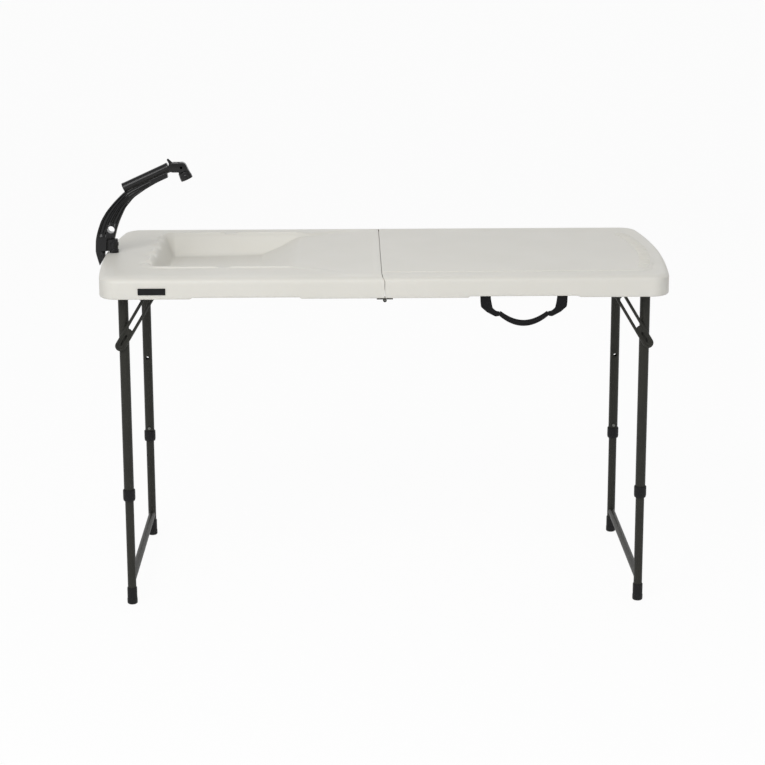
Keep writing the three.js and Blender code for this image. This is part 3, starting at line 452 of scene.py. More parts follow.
def moulded_half(name, side, depth, rows, columns, body, node):
    """A thin moulded shell: the deck's height field, its shoulder and apron as rings, and its underside.

    side is +1 for the half to the right of the seam and -1 for its mirror image.
    depth(x, y) is how far the deck lies below the plain surface.
    """
    layers = []
    rings = shoulder_rings()
    # The front's profile gives way to the back's between y -0.20 and 0.05. The deck's depth fades
    # out over the shoulder, and the seam's step over its top 10 mm outside and 6 mm inside.
    for k, (inset, ahead, behind) in enumerate(rings):
        xy = ring(inset, rows, columns)
        x, y = side * xy[:, 0], xy[:, 1]
        z = behind + (ahead - behind) * smooth(-y, -0.05, 0.20)
        z = z - depth(x, y) * np.clip((inset - 0.012) / 0.020, 0, 1)
        far = np.abs(x)
        raised = smooth(far, LIP_FROM, LIP_FROM + 0.005) * (1 - smooth(far, LIP_TO, LIP_TO + 0.005))
        lift = LIP_RISE * raised * (ahead < 0.700)
        fall = np.clip((TOP - z) / 0.010 if k < OUTER_RINGS else (0.732 - z) / 0.006, 0, 1)
        layers.append(np.stack([x - seam_shift(x) * (1 - fall), y, z + lift], -1))
    count = len(layers[0])
    parts = [(np.concatenate(layers), grid_faces(len(layers), count))]
    for inset, below in ((rings[0][0], 0.0), (rings[-1][0], DECK)):
        xy = sheet(inset, rows, columns)
        x, y = side * xy[..., 0], xy[..., 1]
        z = TOP - below - depth(x, y)
        quads = grid_faces(*x.shape)
        parts.append((np.stack([x - seam_shift(x), y, z], -1), quads if below else quads[:, ::-1]))
    # One face closes the shell at the seam: along each ring's two ends and both sheets' first rows.
    top_row = np.arange(len(rows) + 2 * CORNER_STEPS)
    start = len(layers) * count
    under = start + parts[1][0][..., 0].size
    cap = ([k * count for k in range(len(layers))] + [under + int(i) for i in top_row]
           + [k * count + count - 1 for k in range(len(layers) - 1, -1, -1)]
           + [start + int(i) for i in top_row[::-1]])
    points, faces = join(*parts)
    points, faces = join((points, faces + [cap]), seam_wall(side))
    return solid(name, points + (SEAM, 0.0, 0.0), faces, RESIN, body, [node], "resin", angle=50.0,
                 welded=True)


def seam_wall(side):
    """The wall under the seam, with a notch over each leg's folded place."""
    low, notch, high, end, near, far = 0.6930, 0.7220, 0.7312, 0.3005, 0.2360, 0.2640
    half = [(near, low), (near, notch), (far, notch), (far, low), (end, low), (end, high)]
    outline = np.array([(-y, z) for y, z in half[::-1]] + half)
    n = len(outline)
    ends = (SEAM_HALF_GAP, 0.0057) if side > 0 else (-0.0090, -SEAM_HALF_GAP)
    points = [np.stack([np.full(n, x), outline[:, 0], outline[:, 1]], 1) for x in ends]
    faces = [[i, n + i, n + (i + 1) % n, (i + 1) % n] for i in range(n)]
    return np.concatenate(points), faces + [list(range(n)), list(range(n, 2 * n))[::-1]]


def shoulder_rings():
    """The rings that both halves share, as inset, height in front and height at the back.

    In front and at the ends the deck rolls down over 32 mm to the apron; at the back over 9 mm.
    The rings go on down the apron, round its lip and up its inner side.
    """
    inset = np.array([32.0, 31.0, 26.0, 20.0, 15.0, 12.0, 9.5, 7.0, 5.0, 3.2, 1.7, 0.6, 0.0]) / 1000.0
    drop = np.array([0.0, 0.08, 0.60, 1.25, 1.8, 2.25, 2.85, 3.7, 4.7, 5.9, 7.3, 9.0, 10.9]) / 1000.0
    behind = TOP - SHOULDER + np.sqrt(SHOULDER ** 2 - np.clip(SHOULDER - inset, 0, SHOULDER) ** 2)
    outside = [(0.0, 0.7180), (0.0, 0.7020), (0.0, 0.6935), (0.0004, 0.6915), (0.0013, 0.6903),
               (0.0024, 0.6900)]
    inside = [(0.0036, 0.6906), (0.0045, 0.6930), (0.0045, 0.7020), (0.0045, 0.7240), (0.0053, 0.7280),
              (0.0100, 0.7300)]
    return np.stack([inset, TOP - drop, behind], 1).tolist() + [(d, z, z) for d, z in outside + inside]


def curve_through(x, places):
    """The y at x of a line through measured places, averaged over 16 mm."""
    px, py = np.asarray(places, float).T
    return sum(np.interp(x + shift, px, py) for shift in (-0.008, -0.004, 0.0, 0.004, 0.008)) / 5.0


def share_of(a, b, soft):
    """0 where b lies by soft or more below a, 1 where it lies so far above: rounds where they meet."""
    return np.clip(0.5 + 0.5 * (b - a) / soft, 0, 1)


def sink_depth(x, y):
    """How deep the sink half is pressed: basin, long ramp, shallow wedge, rim and four scallops."""
    box = round_box(x, y, *BASIN)
    steep = BASIN_DEPTH * smooth(-box, -0.002, 0.026)
    slope = np.interp(x, [-0.460, -0.300, -0.276, -0.236, -0.206, -0.186, -0.170],
                      [BASIN_DEPTH, 0.0465, 0.0450, 0.029, 0.013, 0.0055, 0.0])
    soft = 0.004
    w = share_of(steep, slope, soft)
    basin = np.maximum(slope * (1 - w) + steep * w - soft * w * (1 - w), 0.0)
    outer = curve_through(x, [(-0.235, -0.192), (-0.195, -0.194), (-0.160, -0.203), (-0.130, -0.228),
                              (-0.102, -0.242), (-0.062, -0.263), (-0.011, -0.2735), (0.0, -0.2735)])
    inner = curve_through(x, [(-0.235, -0.182), (-0.200, -0.170), (-0.177, -0.160), (-0.159, -0.163),
                              (-0.130, -0.188), (-0.103, -0.220), (-0.062, -0.255), (-0.011, -0.270),
                              (0.0, -0.270)])
    back = curve_through(x, [(-0.235, 0.236), (-0.190, 0.238), (-0.166, 0.245), (-0.136, 0.262),
                             (-0.106, 0.282), (-0.069, 0.296), (0.0, 0.301)])
    front_wall = np.clip((y - outer) / (inner - outer), 0.0, 1.0)
    along_ramp = np.clip((x + 0.207) / 0.195, 0.0, 1.0)
    wedge = 0.0078 * (1 - along_ramp) ** 0.8 * front_wall * smooth(back - y, -0.001, 0.011)
    wedge = wedge * smooth(x, -0.235, -0.205)
    soft = 0.002
    w = share_of(basin, wedge, soft)
    cut = basin * (1 - w) + wedge * w + soft * w * (1 - w) * (np.maximum(basin, wedge) > 1e-5)
    rim = ridge(box - 0.0066, 0.0038, 0.0032) * (1 - smooth(x, -0.215, -0.150))
    rim *= smooth(np.abs(x + np.where(y < 0, 0.343, 0.352)), 0.010, 0.016)
    flare = (ridge(y - outer + 0.004, 0.0025, 0.0040) * smooth(x, -0.195, -0.165)
             * (1 - smooth(x, -0.150, -0.075)))
    rim = np.maximum(rim, 0.5 * flare * (y < 0))
    for middle in SCALLOPS:
        far = np.hypot(x + 0.507, y - middle)
        cut = np.maximum(cut, SCALLOP_DEPTH * (1 - smooth(far, 0.0165, 0.0215)))
        rim = rim * smooth(far, 0.019, 0.024)
    return cut - RIM_HEIGHT * rim


def drawn_in(y):
    """How far the bowed end of the work field and of the row of ribs draws in at y."""
    return 0.024 * (y / 0.220) ** 2


def work_depth(x, y):
    """The work deck: a field 1.3 mm above the border round it, with a fine groove between them."""
    edge = corner_distance(x - (FIELD_END - drawn_in(y)) + FIELD_CORNER,
                           np.abs(y) - FIELD_HALF + FIELD_CORNER, FIELD_CORNER)
    groove = ridge(edge - 0.0022, 0.0008, 0.0014)
    return 0.0013 * smooth(edge, -0.0012, 0.0012) + 0.0009 * groove * smooth(x, 0.004, 0.012)


def deck_grid(counts, rows_at, columns_at, widths, gains):
    """Shares for a deck's rows and columns, closer together near given y and distances from the seam."""
    return (graded(0.0, 1.0, counts[0], [(y + 0.263) / 0.526 for y in rows_at], widths[0], gains[0]),
            graded(0.0, 1.0, counts[1], [x / 0.603 for x in columns_at], widths[1], gains[1]))


moulded_half("moulded_sink_half", -1, sink_depth,
             *deck_grid((188, 165), (-0.193, 0.241), (0.505, 0.407, 0.28, 0.2, 0.177), (0.03, 0.016),
                        (4.0, 3.0)), "sink_half", "top_sink_half")
moulded_half("moulded_work_half", 1, work_depth,
             *deck_grid((100, 110), (-0.248, 0.248), (0.177, 0.407, 0.571, 0.589), (0.008, 0.016),
                        (14.0, 5.0)), "work_half", "top_work_half")


def ribs():
    """The row of low ribs at the bowed end: each is a pill 25 mm long, rounded over and 1.8 mm high."""
    sets = []
    turns, steps = 24, 5
    a, b = np.meshgrid(full_turn(turns), np.linspace(0, 1, steps), indexing="ij")
    for k in range(RIB_COUNT):
        y = RIB_START + k * RIB_PITCH
        end = RIB_END - drawn_in(y)
        reach = RIB_HALF_WIDTH * (1 - 0.45 * b ** 2)
        px = end - 0.0125 + 0.0100 * np.sign(np.cos(a)) + np.cos(a) * reach
        py = y + np.sin(a) * reach
        pz = TOP - 0.002 + 0.0038 * np.sin(b * np.pi / 2)
        points = np.stack([px + SEAM, py, pz], -1)
        caps = [[i * steps + steps - 1 for i in range(turns)], [i * steps for i in range(turns)][::-1]]
        sets.append((points, grid_faces(turns, steps, True).tolist() + caps))
    return join(*sets)


solid("deck_ribs", *ribs(), RESIN, "work_half", slot="resin")


# ------------------------ steel tubes, collars and feet

LEG_X, LEG_Y, PIVOT = 0.555, 0.250, 0.708
UPPER_RADIUS, LOWER_RADIUS, WALL = 0.0108, 0.0093, 0.0012
LOCK_Z, SPARE_Z, HOLE_RADIUS = 0.268, 0.440, 0.004    # the holes in use and those for the low setting
FOOT_BAR_Z, BAR_RADIUS, PIN_RADIUS = 0.052, 0.008, 0.004
STUD_RADIUS, STUD_BASE = 0.0035, 0.0030
STAY_Y, STAY_LOW_Z = 0.26435, 0.582
STAY_REACH, STAY_OVERHANG = 0.069, 0.007              # of its two ends inwards and outwards of the leg
LOOP_RADIUS, WIRE_RADIUS = 0.00825, 0.00325
CLIP_LENGTH, CLIP_HALF, CLIP_THICK = 0.034, 0.0088, 0.0026


def tube(x, y, low, high, outer, holes, sides=48):
    """A tube as a grid of angle and height whose cells bend round each hole, given as (height, angle).

    Near a hole the grid's square rings become circles: ring k of 6 has the radius of the hole
    times k / 2, and from ring 3 on it fades into the plain grid.
    """
    heights = [low, high]
    for z, _ in holes:
        heights += [z + HOLE_RADIUS * q for q in np.arange(-6, 7) * 0.62]
    heights = np.unique(np.round(heights, 7))
    step = 2 * np.pi / sides
    a, z = np.meshgrid(full_turn(sides), heights, indexing="ij")
    shift = np.zeros_like(a)
    keep = np.ones((sides, len(heights)), bool)
    for centre, way in holes:
        row = int(np.argmin(np.abs(heights - centre)))
        column = int(round(way / (2 * np.pi) * sides)) % sides
        i = (np.arange(sides) - column + sides // 2) % sides - sides // 2
        i, j = np.meshgrid(i, np.arange(len(heights)) - row, indexing="ij")
        k = np.maximum(np.abs(i), np.abs(j))
        turn = np.arctan2(j, i)
        near = (k > 0) & (k <= 6)
        fade = np.clip((k - 2) / 4.0, 0, 1)
        reach = HOLE_RADIUS * k / 2.0
        a = np.where(near, column * step + fade * i * step, a)
        shift = np.where(near, (1 - fade) * reach * np.cos(turn), shift)
        bent = centre + fade * (heights[None, :] - centre) + (1 - fade) * reach * np.sin(turn)
        z = np.where(near, bent, z)
        keep &= ~((i >= -2) & (i < 2) & (j >= -2) & (j < 2))
    skins = [np.stack([x + r * np.cos(a + shift / r), y + r * np.sin(a + shift / r), z], -1)
             for r in (outer, outer - WALL)]
    faces = grid_faces(sides, len(heights), True)[keep[:, :-1].ravel()]
    return np.stack(skins).reshape(-1, 3), two_sided(faces, sides * len(heights))


def upright(outline, y):
    """An outline in X and Z set at a Y."""
    return np.insert(outline, 1, y, axis=1)


def clip_plate(ax, az, bx, bz, y):
    """The slotted clip at a stay's end: a plate with round ends and a slot, its outline rounded over."""
    outer = pill(ax, az, bx, bz, CLIP_HALF, 14)
    dx, dz = bx - ax, bz - az
    inner = pill(ax + 0.25 * dx, az + 0.25 * dz, bx - 0.1 * dx, bz - 0.1 * dz, CLIP_HALF * 0.28, 14)
    rings = [upright(outer * (1 - share) + inner * share, y + depth * CLIP_THICK / 2)
             for share, depth in ((0.0, -0.7), (0.12, -1.0), (0.88, -1.0), (1.0, -0.7), (1.0, 0.7),
                                  (0.88, 1.0), (0.12, 1.0), (0.0, 0.7))]
    return np.stack(rings, 1), grid_faces(len(outer), len(rings), True, True)


def stay(x, side, y):
    """A wire stay: a closed loop from its pin under the deck to its clip on the leg."""
    ax, az, bx, bz = x - side * STAY_REACH, PIVOT, x + side * STAY_OVERHANG, STAY_LOW_Z
    path = upright(pill(ax, az, bx, bz, LOOP_RADIUS, 14), y)
    share = CLIP_LENGTH / np.hypot(bx - ax, bz - az)
    return join(sweep(path, circle(WIRE_RADIUS, 16), (0.0, 1.0, 0.0), closed=True),
                clip_plate(bx + share * (ax - bx), bz + share * (az - bz), bx, bz, y))


def stud(x, y, away):
    """A domed lock button at a leg. away is +1 where it points to +Y and -1 where it points to -Y."""
    t = np.linspace(0, np.pi / 2, 7)
    dome = np.concatenate([[(0.0, 0.0), (STUD_RADIUS, 0.0), (STUD_RADIUS, STUD_BASE)],
                           np.stack([STUD_RADIUS * np.cos(t), STUD_BASE + 0.0016 * np.sin(t)], 1)[1:]])
    turn = full_turn(24)[:, None]
    points = np.stack([x + dome[:, 0] * np.cos(turn), y + away * (0.0096 + dome[:, 1] + 0 * turn),
                       LOCK_Z + away * dome[:, 0] * np.sin(turn)], -1)
    return points, grid_faces(24, len(dome), True)[:, ::-1]


SLEEVE = rounded([(0.0096, 0.2357), (0.0122, 0.2357), (0.0133, 0.2407), (0.0133, 0.2585),
                  (0.0129, 0.2607), (0.0111, 0.2607), (0.0111, 0.2377), (0.0096, 0.2377)],
                 [0.0003, 0.001, 0.001, 0.001, 0.0006, 0.0003, 0.0002, 0.0002], 3)
FOOT_CAP = turned([(0.0, 0.0), (0.0088, 0.0), (0.0113, 0.0022), (0.0113, 0.013), (0.0108, 0.0136),
                   (0.0108, 0.0366), (0.0103, 0.038), (0.0096, 0.038), (0.0096, 0.008), (0.0, 0.008)],
                  [1e-6, 0.0016, 0.0016, 0.0004, 0.0004, 0.0008, 0.0004, 0.0002, 0.0004, 1e-6], 1e-4)


def bar(x, half_length, z, radius, steps, sides):
    """A round bar along Y."""
    return sweep(np.linspace((x, -half_length, z), (x, half_length, z), steps), circle(radius, sides))


for side_name, side in (("left", -1), ("right", 1)):
    x = SEAM + side * LEG_X
    upper, lower = f"legs_{side_name}", f"lower_legs_{side_name}"
    part(f"fold_bar_{side_name}", f"cross_bar_{side_name}", "powder_steel",
         join(bar(x, 0.2689, PIVOT, BAR_RADIUS, 12, 32),
              bar(x, 0.2765, PIVOT, PIN_RADIUS, 4, 20)), upper)
    part(f"foot_rail_{side_name}", f"foot_bar_{side_name}", "powder_steel",
         bar(x, 0.2408, FOOT_BAR_Z, BAR_RADIUS, 16, 32), lower)
    for row_name, row in (("front", -1), ("back", 1)):
        place = f"{side_name}_{row_name}"
        y = row * LEG_Y
        inward = np.pi / 2 if row < 0 else 3 * np.pi / 2
        upper_holes = [(SPARE_Z, inward), (LOCK_Z, inward)]
        if row > 0:
            upper_holes.append((SPARE_Z, inward - np.pi))
        part(f"upper_tube_{place}", f"upper_leg_{place}", "powder_steel",
             tube(x, y, 0.238, 0.7188, UPPER_RADIUS, upper_holes), upper)
        part(f"lower_tube_{place}", f"lower_leg_{place}", "powder_steel",
             tube(x, y, 0.0083, 0.388, LOWER_RADIUS, [(LOCK_Z, inward)]), lower)
        part(f"sleeve_{place}", f"collar_{place}", "black_plastic", lathe(SLEEVE, x, y), upper)
        part(f"foot_cap_{place}", f"foot_{place}", "black_plastic", lathe(FOOT_CAP, x, y), lower)
        part(f"spring_stud_{place}", f"lock_button_{place}", "button_steel", stud(x, y, -row),
             f"button_{place}")
        part(f"wire_stay_{place}", f"stay_{place}", "powder_steel", stay(x, side, row * STAY_Y),
             f"stays_{side_name}")


# ------------------------ faucet

END_X = SEAM - HALF_X
HEAD_PIN, SPOUT_END = (174.0, 190.0), (146.0, 190.0)  # mm in the faucet's own frame, as all below
NOZZLE = (12.0, -27.0)                                # from the head's pin to its mouth
ARM_HOLE, ARM_HOLE_RADIUS = (15.5, 53.0), 8.0
ARM_HALF, UNDER_SPOUT_HALF = 13.0, 9.0


def faucet_point(x, z):
    """A place of the faucet's own frame, in mm from the left end and the deck, in metres."""
    return END_X + np.asarray(x, float) / 1000.0, TOP + np.asarray(z, float) / 1000.0


def along_curve(places, share):
    """A smooth line through places, at the given shares of its length."""
    p = np.asarray(places, float)
    length = np.concatenate([[0.0], np.cumsum(np.linalg.norm(np.diff(p, axis=0), axis=1))])
    fine = np.linspace(0.0, 1.0, 401)
    s = fine * length[-1]
    at = np.stack([np.interp(s, length, p[:, 0]), np.interp(s, length, p[:, 1])], 1)
    kernel = np.hanning(41)
    kernel /= kernel.sum()
    padded = np.concatenate([2 * at[:1] - at[20:0:-1], at, 2 * at[-1:] - at[-2:-22:-1]])
    at = np.stack([np.convolve(padded[:, k], kernel, "valid") for k in (0, 1)], 1)
    return np.stack([np.interp(share, fine, at[:, 0]), np.interp(share, fine, at[:, 1])], 1)


def arm_surface():
    """The arm as a grid from its tail up to the spout and from its outer to its inner edge.

    It has one round hole, and the grid bends round it as the tubes' grids do. The middle of each
    face is sunk and carries two long ribs, and the foot is narrower where the stepped seat is.
    """
    outer_tail = np.array([(-12.0, -28.0), (-16.0, -14.0), (-19.0, -2.0), (-20.0, 4.6)])
    inner_tail = np.array([(-0.8, -9.0), (-0.8, -5.0), (-0.4, 0.0), (1.0, 4.6)])
    share = np.linspace(0.0, 1.0, 91)
    outer = along_curve([(-20, 5), (-19.6, 18), (-19, 31), (-14, 51), (-6, 73), (6, 93), (23, 113),
                         (40, 130), (50, 138.5), (70, 147.7), (142, 180.5)], share)
    inner = along_curve([(21, 5), (22, 30), (27, 50), (34, 70), (48, 100), (68, 124), (94, 142),
                         (118, 156), (144, 168)], share)
    outer, inner = np.concatenate([outer_tail, outer]), np.concatenate([inner_tail, inner])
    rows, columns = len(outer), 25
    v = np.linspace(0.0, 1.0, columns)[None, :, None]
    flat = outer[:, None] * (1 - v) + inner[:, None] * v
    hole = np.array(ARM_HOLE)
    far = np.linalg.norm(flat - hole, axis=2)
    row, column = np.unravel_index(np.argmin(far[:, 6:-6]), far[:, 6:-6].shape)
    column += 6
    i, j = np.meshgrid(np.arange(rows) - row, np.arange(columns) - column, indexing="ij")
    ring_at = np.maximum(np.abs(i), np.abs(j))
    step_i = flat[row + 1, column] - flat[row - 1, column]
    step_j = flat[row, column + 1] - flat[row, column - 1]
    way = (i[..., None] * step_i / np.linalg.norm(step_i)
           + j[..., None] * step_j / np.linalg.norm(step_j))
    way = way / np.maximum(np.linalg.norm(way, axis=2, keepdims=True), 1e-9)
    fade = np.clip((ring_at - 4) / 3.0, 0, 1)[..., None]
    turned_in = hole + way * (ARM_HOLE_RADIUS * ring_at / 4.0)[..., None]
    near = ((ring_at <= 7) & (ring_at > 0))[..., None]
    flat = np.where(near, turned_in * (1 - fade) + flat * fade, flat)
    keep = ~((i >= -4) & (i < 4) & (j >= -4) & (j < 4))[:-1, :-1]
    x, z = flat[..., 0], flat[..., 1]
    across = np.broadcast_to(v[..., 0], x.shape)
    boss = smooth(np.hypot(x - hole[0], z - hole[1]), 11.0, 14.0)
    span = smooth(z, 36.0, 44.0) * (1 - smooth(x, 100.0, 112.0)) * boss
    inside = smooth(across, 0.10, 0.16) * (1 - smooth(across, 0.84, 0.90))
    ribs_on = np.maximum(ridge(across - 0.38, 0.030, 0.040), ridge(across - 0.62, 0.030, 0.040))
    sunk = 3.2 * span * inside * (1 - 0.8 * ribs_on)
    seat = 5.0 * smooth(across, 0.58, 0.64) * (1 - smooth(z, 31.0, 34.0)) * smooth(z, 3.0, 5.0)
    edge = np.minimum(across, 1 - across) * np.linalg.norm(outer - inner, axis=1)[:, None]
    soft = 1.6 * (1 - np.sqrt(1 - np.clip(1 - edge / 2.2, 0, 1) ** 2))
    under_spout = smooth(x, 44.0, 60.0)
    half = ARM_HALF - (ARM_HALF - UNDER_SPOUT_HALF) * under_spout
    half = half - sunk * (1 - 0.7 * under_spout) - seat - soft
    wx, wz = faucet_point(x, z)
    front = np.stack([wx, -half / 1000.0, wz], -1).reshape(-1, 3)
    back = front * (1, -1, 1)
    faces = grid_faces(rows, columns)[keep.ravel()]
    return np.concatenate([front, back]), two_sided(faces, rows * columns)


def barrel(profile, start, end, sides=40):
    """A closed profile of radius and distance, in mm, turned about the line from start to end."""
    (ax, az), (bx, bz) = start, end
    length = np.hypot(bx - ax, bz - az)
    tx, tz = (bx - ax) / length, (bz - az) / length
    turn = full_turn(sides)[:, None]
    r, h = np.asarray(profile, float).T
    x = ax + h * tx - r * np.cos(turn) * tz
    z = az + h * tz + r * np.cos(turn) * tx
    wx, wz = faucet_point(x, z)
    y = r * np.sin(turn) / 1000.0
    return np.stack([wx, y + 0 * wx, wz], -1).reshape(-1, 3), grid_faces(sides, len(profile), True, True)


def plate(outline, low, high, edge):
    """A flat outline in X and Z, in the faucet's frame, thick from low to high in Y, its rim rounded."""
    p = np.asarray(outline, float)
    ahead, back = np.roll(p, -1, 0) - p, p - np.roll(p, 1, 0)
    mean = (ahead / np.linalg.norm(ahead, axis=1, keepdims=True)
            + back / np.linalg.norm(back, axis=1, keepdims=True))
    mean /= np.linalg.norm(mean, axis=1, keepdims=True)
    area = 0.5 * np.sum(p[:, 0] * np.roll(p[:, 1], -1) - np.roll(p[:, 0], -1) * p[:, 1])
    inward = np.stack([-mean[:, 1], mean[:, 0]], 1) * np.sign(area)
    t = np.linspace(0.0, np.pi / 2, 4)
    drop, rise = edge * (1 - np.sin(t)), edge * (1 - np.cos(t))
    sets = ([(d, low + r) for d, r in zip(drop, rise)]
            + [(d, high - r) for d, r in zip(drop[::-1], rise[::-1])])
    layers = []
    for inset, y in sets:
        wx, wz = faucet_point(*(p + inward * inset).T)
        layers.append(np.stack([wx, np.full(len(p), y / 1000.0), wz], 1))
    faces = capped(len(layers), len(p))
    if area < 0:
        faces = [f[::-1] for f in faces]
    return np.concatenate(layers), faces


SEAT_STEPS = turned([(0.0, -14.0), (5.0, -14.0), (5.0, 0.3), (10.5, 0.3), (10.5, 7.9), (9.0, 7.9),
                     (9.0, 15.6), (10.5, 15.6), (10.5, 23.3), (9.0, 23.3), (9.0, 31.0), (0.0, 31.0)],
                    [1e-4, 0.6, 0.2, 0.5, 0.6, 0.3, 0.3, 0.6, 0.6, 0.3, 0.6, 1e-4], 0.05)
part("swan_arm", "faucet_arm", "faucet_plastic", arm_surface(), "faucet", angle=40.0)
part("stepped_seat", "faucet_socket", "faucet_plastic", barrel(SEAT_STEPS, (20, 0), (20, 1)), "faucet")
long = float(np.hypot(101, 46))
SPOUT_WALL = turned([(8.0, 0.0), (10.9, 0.0), (11.5, 0.9), (11.5, 4.0), (11.2, 4.8), (11.2, long - 5.5),
                     (11.5, long - 5.0), (11.5, long - 0.6), (10.9, long), (0.0, long), (0.0, 20.0),
                     (8.0, 20.0)], [0.6, 0.5, 0.5, 0.4, 0.4, 0.4, 0.4, 0.4, 0.4, 1e-4, 1e-4, 0.4], 0.05)
part("open_spout", "faucet_spout", "faucet_plastic", barrel(SPOUT_WALL, (45, 144), SPOUT_END), "faucet")
SHANK = turned([(0.0, 0.3), (8.6, 0.3), (10.2, 1.6), (10.5, 4.0), (10.5, 12.0), (9.0, 15.0),
                (0.0, 15.0)], [1e-4, 1.0, 1.0, 0.8, 1.0, 1.0, 1e-4], 0.05)
hollow = np.radians(np.linspace(221.0, 129.7, 14))
NECK_BLOCK = np.concatenate([[(150.0, 180.3), (162.0, 180.3)],
                             12.6 * np.stack([np.cos(hollow), np.sin(hollow)], 1) + HEAD_PIN,
                             [(150.0, 199.7)]])
TAB = rounded([(147.4, 196.1), (158.6, 196.1), (151.6, 203.3), (144.6, 209.6), (141.8, 206.9)], 1.4, 3)
CHEEK = pill(156, 190, *HEAD_PIN, 10.5)
part("neck_fork", "faucet_neck", "faucet_plastic",
     join(barrel(SHANK, SPOUT_END, (158, 190)), plate(NECK_BLOCK, -11.5, 11.5, 0.6),
          plate(CHEEK, -11.8, -8.8, 0.9), plate(CHEEK, 8.8, 11.8, 0.9), plate(TAB, -2.0, 2.0, 0.6)),
     "faucet")
reach = float(np.hypot(*NOZZLE))
MOUTH = turned([(0.0, 6.0), (8.5, 6.0), (8.7, 10.4), (12.3, 11.2), (12.8, 12.4), (13.0, 18.0),
                (13.5, 19.0), (13.8, 22.0), (13.8, reach - 0.8), (13.1, reach), (11.5, reach),
                (11.5, reach - 2.5), (0.0, reach - 2.5)],
               [1e-4, 0.5, 0.8, 0.7, 0.7, 0.5, 0.5, 0.5, 0.5, 0.4, 0.4, 0.3, 1e-4], 0.05)
out_of_head, across_head = np.array(NOZZLE) / reach, np.array([-NOZZLE[1], NOZZLE[0]]) / reach
back_turn = np.linspace(np.pi / 2, 3 * np.pi / 2, 16)[:, None]
hub = np.where(np.sin(back_turn) > 0, 11.8, 9.5) * (np.cos(back_turn) * out_of_head * 0.97
                                                    + np.sin(back_turn) * across_head)
hub = np.concatenate([hub, [13.5 * out_of_head - 10.5 * across_head,
                            13.5 * out_of_head + 12.0 * across_head]]) + HEAD_PIN
mouth_at = np.array(HEAD_PIN) + NOZZLE
part("tilting_head", "faucet_head", "faucet_plastic",
     join(plate(hub, -8.5, 8.5, 1.0), barrel(MOUTH, HEAD_PIN, mouth_at)), "spray_head")


# ------------------------ webbing handle

HANDLE = (SEAM + 0.293, -0.296, 0.690)                # the middle of the handle's upper edge
STRAP_WIDTH, STRAP_THICK = 0.022, 2.2                 # in metres for its UVs, and in mm
GRIP_STEPS, GRIP_SIDES = 121, 36


def ribbon(left, right, waves, thick, count=40, across=13):
    """A strap between two edges given in mm from the handle's middle and top, with UVs in metres."""
    share = np.linspace(0.0, 1.0, count + 1)
    a, b = along_curve(left, share), along_curve(right, share)
    v = np.linspace(0.0, 1.0, across)[None, :]
    flat = a[:, None] * (1 - v[..., None]) + b[:, None] * v[..., None]
    x, z = flat[..., 0], flat[..., 1]
    y = waves(share[:, None], v)
    seam_lines = ridge(v - 0.12, 0.01, 0.03) + ridge(v - 0.88, 0.01, 0.03)
    rise = thick / 2 * np.sqrt(np.clip(1 - (2 * v - 1) ** 8, 0.0, 1.0)) - 0.18 * seam_lines
    rise = np.broadcast_to(rise, x.shape)
    layers = [np.stack([x, y + s * rise, z], -1).reshape(-1, 3) for s in (-1, 1)]
    faces = two_sided(grid_faces(count + 1, across), len(layers[0]))
    length = np.concatenate([[0.0], np.cumsum(np.linalg.norm(np.diff((a + b) / 2, axis=0), axis=1))])
    seat = np.stack(np.broadcast_arrays(STRAP_WIDTH * v, length[:, None] / 1000.0), -1).reshape(-1, 2)
    return np.concatenate(layers), faces, np.concatenate([seat, seat + (0.1, 0.0)])


def strap_waves(u, v):
    """How far the strap bends out of its plane, in mm, down its length u and across its width v."""
    return 1.0 * np.sin(2.6 * u * np.pi) * (v - 0.5) - 0.6 * np.sin(u * np.pi)


for hand, sign in (("left", -1), ("right", 1)):
    left_edge = [(-92, 0), (-91.8, -10), (-90.6, -21), (-78, -32.5), (-60, -42.0), (-52.6, -41.0)]
    right_edge = [(-70, 0), (-68.6, -10), (-65.8, -23), (-59.5, -29), (-54.5, -30.6), (-51.4, -30.8)]
    points, faces, seats = ribbon(left_edge, right_edge, strap_waves, STRAP_THICK)
    if sign > 0:
        points = points * (-1, 1, 1)
        faces = [f[::-1] for f in faces]
    points = points / 1000.0 + HANDLE
    fold = np.linspace((-0.092, 0.0, 0.0), (-0.070, 0.0, 0.0), 6) * (-sign, 1, 1) + HANDLE
    bead, bead_faces = sweep(fold, circle(0.0019, 14))
    strap = solid(f"webbing_strap_{hand}", *join((points, faces), (bead, bead_faces)), WEBBING, "handle",
                  [f"handle_strap_{hand}"], "webbing", seats=np.concatenate([seats, bead[:, (0, 2)]]))


